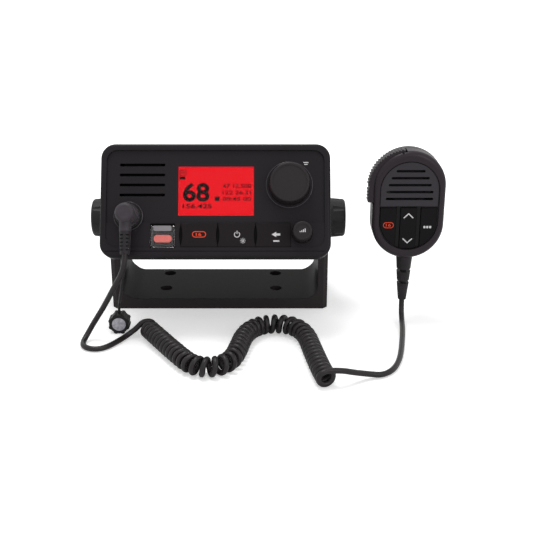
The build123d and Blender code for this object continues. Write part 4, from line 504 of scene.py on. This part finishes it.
jacket = soft_rubber("polyurethane_cord_jacket", "#1e1a1b", 0.38, 0.8, 0.3, 0.03)
plug_rubber = soft_rubber("overmoulded_plug_rubber", "#39343a", 0.48, 0.8, 0.22, 0.05)
boot_rubber = soft_rubber("ribbed_boot_rubber", "#232023", 0.5, 0.8, 0.2, 0.05)
silicone = soft_rubber("black_silicone", "#1a191b", 0.5, 0.9, 0.28, 0.04)
cone_cloth = soft_rubber("black_speaker_cloth", "#070607", 0.8, 0.6, 0.05, 0.0)
grille_cloth = soft_rubber("dark_grey_speaker_cloth", "#29262b", 0.8, 0.6, 0.05, 0.0)
dress(plug_rubber, "mic_plug", "plug_collar")
dress(boot_rubber, "plug_boot", "handset_boot")
dress(silicone, "dust_cap", "tether_ring", "case_seal", "handset_seal", "key_membrane",
      "pivot_washers")
dress(cone_cloth, "speaker_mesh")
dress(grille_cloth, "handset_speaker")
for piece, rubber, name in ((coiled, jacket, "cord_rubber"), (lead, jacket, "cord_rubber"),
                            (strap, silicone, "seal_rubber")):
    piece.data.materials.append(rubber)

# %% [markdown]
# ## Metals and boards
# The rear case is die-cast aluminium under black powder coat, whose slight orange peel comes from
# paint that melts and flows in the oven. Screws, shafts and the socket plate are nickel plated,
# the inserts are turned brass, and the circuit boards wear green solder mask.

# %% Powder coat, plated steel, brass and solder mask
PEEL_MM, PEEL_DEPTH_MM, TOOL_MARK_MM, TRACK_MM = 1.6, 0.1, 0.05, 4.0


def powder_coat(name, code):
    """Oven-cured paint on a casting: glossy on top of a soft orange peel."""
    material, tree, output, place = new_material(name)
    peel = add_node(tree, "TexNoise", {"Scale": 1 / (PEEL_MM * MM), "Detail": 1.0},
                    {"Vector": place})
    bump = add_node(tree, "Bump", {"Strength": 0.35, "Distance": PEEL_DEPTH_MM * MM},
                    {"Height": peel.outputs["Fac"]})
    polish = add_node(tree, "MapRange", {"To Min": 0.36, "To Max": 0.5},
                      {"Value": peel.outputs["Fac"]})
    shader = add_node(tree, "BsdfPrincipled",
                      {"Base Color": linear(code), "IOR": 1.5, "Specular IOR Level": 0.3},
                      {"Roughness": polish.outputs[0], "Normal": bump.outputs["Normal"]})
    tree.links.new(shader.outputs[0], output.inputs["Surface"])
    return material


def turned_metal(name, code, roughness, line_mm):
    """Plated or turned metal: fine tool marks that spread the highlight."""
    material, tree, output, place = new_material(name)
    lines = add_node(tree, "TexNoise", {"Scale": 1 / (line_mm * MM), "Detail": 2.0},
                     {"Vector": place})
    polish = add_node(tree, "MapRange", {"To Min": roughness * 0.7, "To Max": roughness * 1.4},
                      {"Value": lines.outputs["Fac"]})
    bump = add_node(tree, "Bump", {"Strength": 0.15, "Distance": TOOL_MARK_MM * MM},
                    {"Height": lines.outputs["Fac"]})
    shader = add_node(tree, "BsdfPrincipled", {"Base Color": linear(code), "Metallic": 1.0},
                      {"Roughness": polish.outputs[0], "Normal": bump.outputs["Normal"]})
    tree.links.new(shader.outputs[0], output.inputs["Surface"])
    return material


def solder_mask(name, code, pad_code, track_code):
    """Lacquer over copper tracks: a blocky pattern of slightly lighter lines."""
    material, tree, output, place = new_material(name)
    tracks = add_node(tree, "TexBrick",
                      {"Scale": 1 / (TRACK_MM * MM), "Mortar Size": 0.03, "Color1": linear(code),
                       "Color2": linear(pad_code), "Mortar": linear(track_code)},
                      {"Vector": place})
    shader = add_node(tree, "BsdfPrincipled", {"Roughness": 0.28, "IOR": 1.5},
                      {"Base Color": tracks.outputs["Color"]})
    tree.links.new(shader.outputs[0], output.inputs["Surface"])
    return material


case_coat = powder_coat("black_powder_coat", "#151516")
nickel = turned_metal("nickel_plated_steel", "#b8b4aa", 0.28, 0.8)
blackened = turned_metal("blackened_steel_pin", "#2b2a2b", 0.45, 0.8)
brass = turned_metal("turned_brass", "#b5853a", 0.25, 0.6)
board_green = solder_mask("green_solder_mask", "#0f3d20", "#15502c", "#2f7a48")
board_black = solder_mask("black_solder_mask", "#0b0b0b", "#101010", "#1c1a18")
dress(case_coat, "rear_case")
dress(nickel, "antenna_socket", "knob_stud_left", "knob_stud_right", "case_screws",
      "handset_screws", "channel_shaft", "volume_shaft", "speaker", "rf_shield",
      "channel_encoder", "volume_encoder")
dress(blackened, "distress_hinge_pin", "ptt_pin")
dress(brass, "pivot_inserts")
dress(board_green, "front_board", "main_board", "key_switches")
dress(board_black, "handset_board")

# %% [markdown]
# ## Window, display and distress key
# The window is clear acrylic with a coating that stops glare, so it mirrors very little. Behind
# it a liquid crystal sheet is lit evenly from the back in red, so its front is drawn as light with
# a fine grid of pixels over it. The distress key is a translucent red moulding under a hinged,
# lightly smoked cover, which guards it from a stray finger. Its faint glow is painted light, for
# the light that reaches it through the cover; nothing lights it from behind.

# %% Clear and smoked plastic, the lit screen and the red key
HAZE_MM = 5.0


def clear_plastic(name, code, roughness, ior):
    """A see-through moulding with a faint tint and a faint waviness from the mould."""
    material, tree, output, place = new_material(name)
    haze = add_node(tree, "TexNoise", {"Scale": 1 / (HAZE_MM * MM)}, {"Vector": place})
    polish = add_node(tree, "MapRange", {"To Min": roughness, "To Max": roughness + 0.03},
                      {"Value": haze.outputs["Fac"]})
    shader = add_node(tree, "BsdfPrincipled",
                      {"Base Color": linear(code), "IOR": ior, "Transmission Weight": 1.0},
                      {"Roughness": polish.outputs[0]})
    tree.links.new(shader.outputs[0], output.inputs["Surface"])
    return material


def lit_screen(name, code, dim_code, pixel_mm):
    """A backlit display: even light with a faint grid of pixels, on its front alone."""
    material, tree, output, place = new_material(name)
    pixels = add_node(tree, "TexBrick",
                      {"Scale": 1 / (pixel_mm * MM), "Mortar Size": 0.04, "Color1": linear(code),
                       "Color2": linear(code), "Mortar": linear(dim_code)},
                      {"Vector": place}, offset=0.0)
    light = add_node(tree, "Mix", {6: (0.0, 0.0, 0.0, 1.0)},
                     {0: box_mask(tree, place, SCREEN_FRONT), 7: pixels.outputs["Color"]},
                     data_type="RGBA")
    shader = add_node(tree, "BsdfPrincipled",
                      {"Roughness": 0.4, "Specular IOR Level": 0.05, "Emission Strength": 0.92,
                       "Base Color": (0.02, 0.0, 0.0, 1.0)}, {"Emission Color": light.outputs[2]})
    tree.links.new(shader.outputs[0], output.inputs["Surface"])
    return material


window = clear_plastic("coated_acrylic_window", "#ffffff", 0.0, 1.1)
smoked = clear_plastic("smoked_polycarbonate", "#f4f1f4", 0.03, 1.4)
display_red = lit_screen("red_backlit_display", "#fb1d28", "#d8121c", 0.5)
# the distress key's glow is painted light: it has no lamp behind it
distress_plastic = moulded_plastic("red_distress_key", "#e66c60", 0.3, 0.8, 0.15, 0.4, glow=0.3)
dress(window, "display_lens")
dress(smoked, "distress_cover")
dress(display_red, "display_panel")
dress(distress_plastic, "distress_button")

# %% [markdown]
# ## Printed marks
# The keys carry small laser-etched signs, and the display shows dark figures. Each is a real,
# very thin solid, so that it is still there when the model is exported. Flat shapes start from
# a grid whose corners are bevelled. Digits come from a text curve, stretched to the size that
# they need. Both are drawn in millimetres on the face, then carried to their place.

# %% Helpers for thin shapes
PRINT_RISE = 0.12
# a corner stops just short of its full radius, so that two of them never meet in one point
FULL_CORNER = 0.999


def corners_of(geometry):
    """Only the vertices of what an operator gives back."""
    return [v for v in geometry if isinstance(v, bmesh.types.BMVert)]


def join(shape, part):
    """Move the geometry of one bmesh into another."""
    mesh = bpy.data.meshes.new("part")
    part.to_mesh(mesh)
    part.free()
    shape.from_mesh(mesh)
    bpy.data.meshes.remove(mesh)


def add_plate(shape, centre, wide, high, corner=0.0, line=0.0, turn=0.0, rise=PRINT_RISE):
    """Add a thin plate with round corners, or only its outline, in mm."""
    part = bmesh.new()
    bmesh.ops.create_grid(part, x_segments=1, y_segments=1, size=0.5)
    bmesh.ops.scale(part, vec=(wide, high, 1), verts=part.verts)
    if corner:
        bmesh.ops.bevel(part, geom=part.verts[:], offset=corner * FULL_CORNER,
                        offset_type="OFFSET", segments=8, profile=0.5, affect="VERTICES",
                        material=-1)
    if line:
        middle = part.faces[:]
        bmesh.ops.inset_region(part, faces=middle, thickness=line, use_even_offset=True,
                               use_boundary=True)
        bmesh.ops.delete(part, geom=middle, context="FACES")
    grown = bmesh.ops.extrude_face_region(part, geom=part.faces[:])["geom"]
    bmesh.ops.translate(part, vec=(0, 0, rise), verts=corners_of(grown))
    bmesh.ops.transform(part, verts=part.verts,
                        matrix=Matrix.Translation(centre) @ Matrix.Rotation(turn, 4, "Z"))
    join(shape, part)


def add_digits(shape, text, corner, wide, high, weight=0.0):
    """Add plain digits, stretched to a box in mm whose lower left corner is given."""
    curve = bpy.data.curves.new("digits", "FONT")
    curve.body, curve.extrude, curve.offset, curve.resolution_u = text, 0.5, weight, 4
    holder = bpy.data.objects.new("digits", curve)
    bpy.context.scene.collection.objects.link(holder)
    part = bmesh.new()
    part.from_mesh(mesh_of(holder))
    bmesh.ops.remove_doubles(part, verts=part.verts, dist=0.0005)
    low = Vector([min(v.co[i] for v in part.verts) for i in range(3)])
    size = Vector([max(v.co[i] for v in part.verts) for i in range(3)]) - low
    bmesh.ops.translate(part, vec=-low, verts=part.verts)
    bmesh.ops.scale(part, vec=(wide / size.x, high / size.y, PRINT_RISE / size.z),
                    verts=part.verts)
    bmesh.ops.translate(part, vec=corner, verts=part.verts)
    join(shape, part)


def finish_mark(name, shape, place, body, material):
    """Carry a mark from millimetres on the face to its place, and tie it to its body."""
    bmesh.ops.scale(shape, vec=(MM, MM, MM), verts=shape.verts)
    bmesh.ops.transform(shape, matrix=place, verts=shape.verts)
    bmesh.ops.recalc_face_normals(shape, faces=shape.faces)
    open_edges = sum(not edge.is_manifold for edge in shape.edges)
    mesh = bpy.data.meshes.new(name)
    shape.to_mesh(mesh)
    shape.free()
    made = bpy.data.objects.new(name, mesh)
    bpy.context.scene.collection.objects.link(made)
    mesh.materials.append(material)
    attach(made, body)
    print(name, "rides", body, "with", len(mesh.polygons), "faces,", open_edges, "open edges")


# %% [markdown]
# ### Inks
# Pad-printed ink is matt and slightly uneven, because it is stamped from a soft pad and sinks
# into the grain of the plastic. The figures on the display are dark crystals, not ink, but they
# look the same from outside: flat, dark and without shine.

# %% Ink for the signs
PATCH_MM = 0.8


def printed_ink(name, code, glow):
    """Matt ink with small uneven patches; a backlit sign also glows a little."""
    material, tree, output, place = new_material(name)
    patches = add_node(tree, "TexNoise", {"Scale": 1 / (PATCH_MM * MM), "Detail": 2.0},
                       {"Vector": place})
    tone = add_node(tree, "ValToRGB", links={"Fac": patches.outputs["Fac"]})
    dark, pale = tone.color_ramp.elements
    dark.color, pale.color = shades(code, 0.82, 1.1)
    shader = add_node(tree, "BsdfPrincipled",
                      {"Roughness": 0.6, "Specular IOR Level": 0.15, "Emission Strength": glow},
                      {"Base Color": tone.outputs["Color"],
                       "Emission Color": tone.outputs["Color"]})
    tree.links.new(shader.outputs[0], output.inputs["Surface"])
    return material


ink_white = printed_ink("white_sign_ink", "#d8d6d8", 0.0)
ink_orange = printed_ink("orange_sign_ink", "#e2482c", 0.1)
ink_grey = printed_ink("pale_grey_label", "#8b878b", 0.0)
crystal_black = printed_ink("dark_display_figures", "#1a0506", 0.0)
print("inks ready")

# %% [markdown]
# ### Figures on the display
# A large channel number fills the left half, with rows of small figures to its right and along
# the bottom. They are plain numbers, since a display shows whatever it is tuned to.

# %% Set the figures on the display
DISPLAY_Z = -6.32
# digits: text, left, low, wide, high, weight
DISPLAY_DIGITS = (
    ("68", -27.2, -0.2, 22.0, 16.0, 0.03), ("47 12.508", 5.7, 11.4, 23.4, 3.3, 0.012),
    ("122 26.31", 5.7, 5.9, 23.4, 3.3, 0.012), ("09:45 00", 5.7, 0.5, 23.4, 3.3, 0.012),
    ("156.425", -27.4, -5.8, 24.2, 3.8, 0.02),
)
# plates: across, up, wide, high, corner, line
DISPLAY_PLATES = (
    (1.1, 2.3, 4.0, 3.7, 0.5, 0.0), (-27.3, 24.2, 5.4, 4.8, 0.6, 0.5),
    (-27.3, 24.2, 3.4, 0.6, 0.0, 0.0), (-27.7, 19.7, 4.6, 2.4, 0.4, 0.0),
)
figures = bmesh.new()
for text, left, low, wide, high, weight in DISPLAY_DIGITS:
    add_digits(figures, text, (left, low, DISPLAY_Z), wide, high, weight)
for across, up, wide, high, corner, line in DISPLAY_PLATES:
    add_plate(figures, (across, up, DISPLAY_Z), wide, high, corner=corner, line=line)
finish_mark("display_figures", figures, FACE, "radio", crystal_black)

# %% [markdown]
# ### Signs on the keys
# The call key has an orange outlined pill with the number 16. The power key has the usual broken
# ring with a stroke, and a small sun for the backlight. The back key has an arrow. Each sign
# belongs to its own key, so it sinks with it.

# %% Make the signs of the radio's keys
KEY_Z = -0.82
call_sign = bmesh.new()
add_plate(call_sign, (-13.25, -28.1, KEY_Z), 11.5, 5.2, corner=2.6, line=0.7)
add_digits(call_sign, "16", (-15.9, -29.4, KEY_Z), 4.6, 2.6, 0.02)
finish_mark("call_key_sign", call_sign, FACE, "key_16", ink_orange)


def add_arc(shape, centre, radius, line, start, sweep, steps):
    """Add part of a ring by spinning a small rectangle, and close its two ends."""
    part = bmesh.new()
    corners = [part.verts.new((radius + dr, 0, dz)) for dr, dz in
               ((-line / 2, 0), (line / 2, 0), (line / 2, PRINT_RISE), (-line / 2, PRINT_RISE))]
    for a, b in zip(corners, corners[1:] + corners[:1]):
        part.edges.new((a, b))
    bmesh.ops.rotate(part, cent=(0, 0, 0), matrix=Matrix.Rotation(start, 3, "Z"), verts=part.verts)
    bmesh.ops.spin(part, geom=part.verts[:] + part.edges[:], cent=(0, 0, 0), axis=(0, 0, 1),
                   angle=sweep, steps=steps, use_merge=sweep >= 2 * pi)
    bmesh.ops.holes_fill(part, edges=part.edges[:], sides=4)
    bmesh.ops.translate(part, vec=centre, verts=part.verts)
    join(shape, part)


SUN_X, SUN_Y, SUN_R, RAYS = 22.6, -33.4, 1.9, 8
power_sign = bmesh.new()
add_arc(power_sign, (17.8, -28.2, KEY_Z), 2.2, 0.6, radians(125), radians(290), 24)
add_plate(power_sign, (17.8, -26.4, KEY_Z), 0.6, 2.6)
add_arc(power_sign, (SUN_X, SUN_Y, KEY_Z), 0.8, 0.5, 0.0, 2 * pi, 16)
for ray in range(RAYS):
    aim = ray * 2 * pi / RAYS
    add_plate(power_sign, (SUN_X + SUN_R * cos(aim), SUN_Y + SUN_R * sin(aim), KEY_Z), 0.9, 0.4,
              turn=aim)
finish_mark("power_key_sign", power_sign, FACE, "key_power", ink_white)

back_sign = bmesh.new()
arrow_head = bmesh.new()
bmesh.ops.create_circle(arrow_head, cap_ends=True, segments=3, radius=2.5)
top = bmesh.ops.extrude_face_region(arrow_head, geom=arrow_head.faces[:])["geom"]
# a little thicker than the shaft, so that no two faces lie in one plane
bmesh.ops.translate(arrow_head, vec=(0, 0, PRINT_RISE + 0.02), verts=corners_of(top))
bmesh.ops.transform(arrow_head, verts=arrow_head.verts, matrix=Matrix.Translation(
    (48.6, -28.2, KEY_Z)) @ Matrix.Rotation(radians(90), 4, "Z"))
join(back_sign, arrow_head)
add_plate(back_sign, (51.2, -28.2, KEY_Z), 3.8, 1.8)
add_plate(back_sign, (49.9, -33.6, KEY_Z), 5.0, 1.2, corner=0.3)
finish_mark("back_key_sign", back_sign, FACE, "key_back", ink_white)

# %% [markdown]
# ### Signs on the knobs, the cover and the microphone
# The volume knob shows four growing bars. Two plain bars stand beside the channel knob, and the
# distress cover has a bare label band. The microphone has two chevrons on its rocker, an orange
# 16 on its left key and three dots on its right key.

# %% Make the other signs
KNOB_TOP_Z = 13.38
volume_sign = bmesh.new()
for bar in range(4):
    tall = 0.8 + 0.7 * bar
    add_plate(volume_sign, (68.9 + 1.35 * bar, -27.9 + 0.35 * bar, KNOB_TOP_Z), 0.7, tall)
finish_mark("volume_knob_sign", volume_sign, FACE, "volume_knob", ink_white)

PANEL_Z = -1.82
push_sign = bmesh.new()
add_plate(push_sign, (74.4, 31.9, PANEL_Z), 4.2, 0.8, corner=0.3)
add_plate(push_sign, (74.4, 30.3, PANEL_Z), 2.8, 0.8, corner=0.3)
finish_mark("push_sign", push_sign, FACE, "radio", ink_white)

band = bmesh.new()
add_plate(band, (-43.1, -23.3, 0.38), 14.8, 4.4, corner=1.2)
finish_mark("cover_label_band", band, FACE, "distress_cover", ink_grey)

HANDSET_Z = -0.82
left_sign = bmesh.new()
add_plate(left_sign, (-16.3, -16.4, HANDSET_Z), 8.8, 5.1, corner=2.5, line=0.55)
add_digits(left_sign, "16", (-18.4, -17.6, HANDSET_Z), 4.2, 2.5, 0.01)
finish_mark("handset_16_sign", left_sign, HANDSET, "mic_key_left", ink_orange)

right_sign = bmesh.new()
for across in (13.6, 16.0, 18.4):
    add_plate(right_sign, (across, -18.0, HANDSET_Z), 1.7, 2.0, corner=0.4)
finish_mark("handset_power_sign", right_sign, HANDSET, "mic_key_right", ink_white)

CHEVRON_TURN = radians(44)
chevrons = bmesh.new()
for middle, way in ((-8.2, 1), (-30.0, -1)):
    for side in (-1, 1):
        # the right arm is a little thicker, so that no two faces lie in one plane
        add_plate(chevrons, (side * 1.85, middle, HANDSET_Z), 5.8, 0.9, corner=0.4,
                  turn=-side * way * CHEVRON_TURN, rise=PRINT_RISE + 0.03 * (side > 0))
finish_mark("channel_chevrons", chevrons, HANDSET, "mic_rocker", ink_white)

# %% [markdown]
# ### Raised beads round the knob and the socket
# The channel knob stands in a low ring, and the microphone's socket has a flange. Each edge gets
# a thin bead, paler and glossier than the plastic round it: a painted highlight for the glint
# along the edge. A bead is a small circle spun about the axis of the knob or the socket.

# %% Spin the two beads
BEAD_R, SEAT_R, FLANGE_R = 0.32, 19.0, 11.65


def add_bead(shape, centre, radius):
    """Add a round bead about an axis that stands on the face, in mm."""
    part = bmesh.new()
    bmesh.ops.create_circle(part, segments=8, radius=BEAD_R)
    bmesh.ops.rotate(part, cent=(0, 0, 0), matrix=Matrix.Rotation(radians(90), 3, "X"),
                     verts=part.verts)
    bmesh.ops.translate(part, vec=(radius, 0, 0), verts=part.verts)
    bmesh.ops.spin(part, geom=part.verts[:] + part.edges[:], cent=(0, 0, 0), axis=(0, 0, 1),
                   angle=2 * pi, steps=96, use_merge=True)
    bmesh.ops.translate(part, vec=centre, verts=part.verts)
    join(shape, part)


# the bead's pale colour is a painted highlight, not the colour of the plastic
painted_highlight_bead = moulded_plastic("painted_highlight_bead", "#454246", 0.22, 0.8, 0.1, 0.4)
knob_ring = bmesh.new()
add_bead(knob_ring, (60.7, 13.0, -0.68), SEAT_R)
finish_mark("channel_seat_bead", knob_ring, FACE, "radio", painted_highlight_bead)
socket_ring = bmesh.new()
add_bead(socket_ring, (-71.2, -13.3, 0.72), FLANGE_R)
finish_mark("socket_flange_bead", socket_ring, FACE, "radio", painted_highlight_bead)

# %% [markdown]
# ### Pad of the dust cap
# The cap's closed end holds a pale foam pad that dust and salt have mottled. It is a low disc
# with a rounded rim, and the grime is a noise with much fine detail.

# %% Lay the pad into the cap's end
BLOT_MM, BLOT_DEPTH_MM = 3.0, 0.1


def mottled_pad(name, clean_code, grime_code):
    """Pale closed-cell foam, marbled with grime."""
    material, tree, output, place = new_material(name)
    blots = add_node(tree, "TexNoise", {"Scale": 1 / (BLOT_MM * MM), "Detail": 5.0,
                                        "Roughness": 0.7}, {"Vector": place})
    tone = add_node(tree, "ValToRGB", links={"Fac": blots.outputs["Fac"]})
    grime, clean = tone.color_ramp.elements
    grime.position, clean.position = 0.3, 0.62
    grime.color, clean.color = linear(grime_code), linear(clean_code)
    bump = add_node(tree, "Bump", {"Strength": 0.5, "Distance": BLOT_DEPTH_MM * MM},
                    {"Height": blots.outputs["Fac"]})
    shader = add_node(tree, "BsdfPrincipled", {"Roughness": 0.45, "Specular IOR Level": 0.4},
                      {"Base Color": tone.outputs["Color"], "Normal": bump.outputs["Normal"]})
    tree.links.new(shader.outputs[0], output.inputs["Surface"])
    return material


PAD_R, PAD_THICK, PAD_EDGE = 0.0058, 0.0005, 0.0003
pad = bmesh.new()
bmesh.ops.create_cone(pad, cap_ends=True, segments=48, radius1=PAD_R, radius2=PAD_R,
                      depth=PAD_THICK)
rim = [e for e in pad.edges if e.calc_face_angle(0.0) > 1.0 and e.verts[0].co.z > 0]
bmesh.ops.bevel(pad, geom=rim, offset=PAD_EDGE, offset_type="OFFSET", segments=3, profile=0.5,
                affect="EDGES", material=-1)
bmesh.ops.scale(pad, vec=(1 / MM, 1 / MM, 1 / MM), verts=pad.verts)
CAP_END = Matrix.Translation((-0.0826, -0.098, 0.00879)) @ Matrix.Rotation(radians(90), 4, "X")
finish_mark("dust_cap_pad", pad, CAP_END, "bracket_and_clip",
            mottled_pad("mottled_foam_pad", "#c6c4ce", "#84828c"))
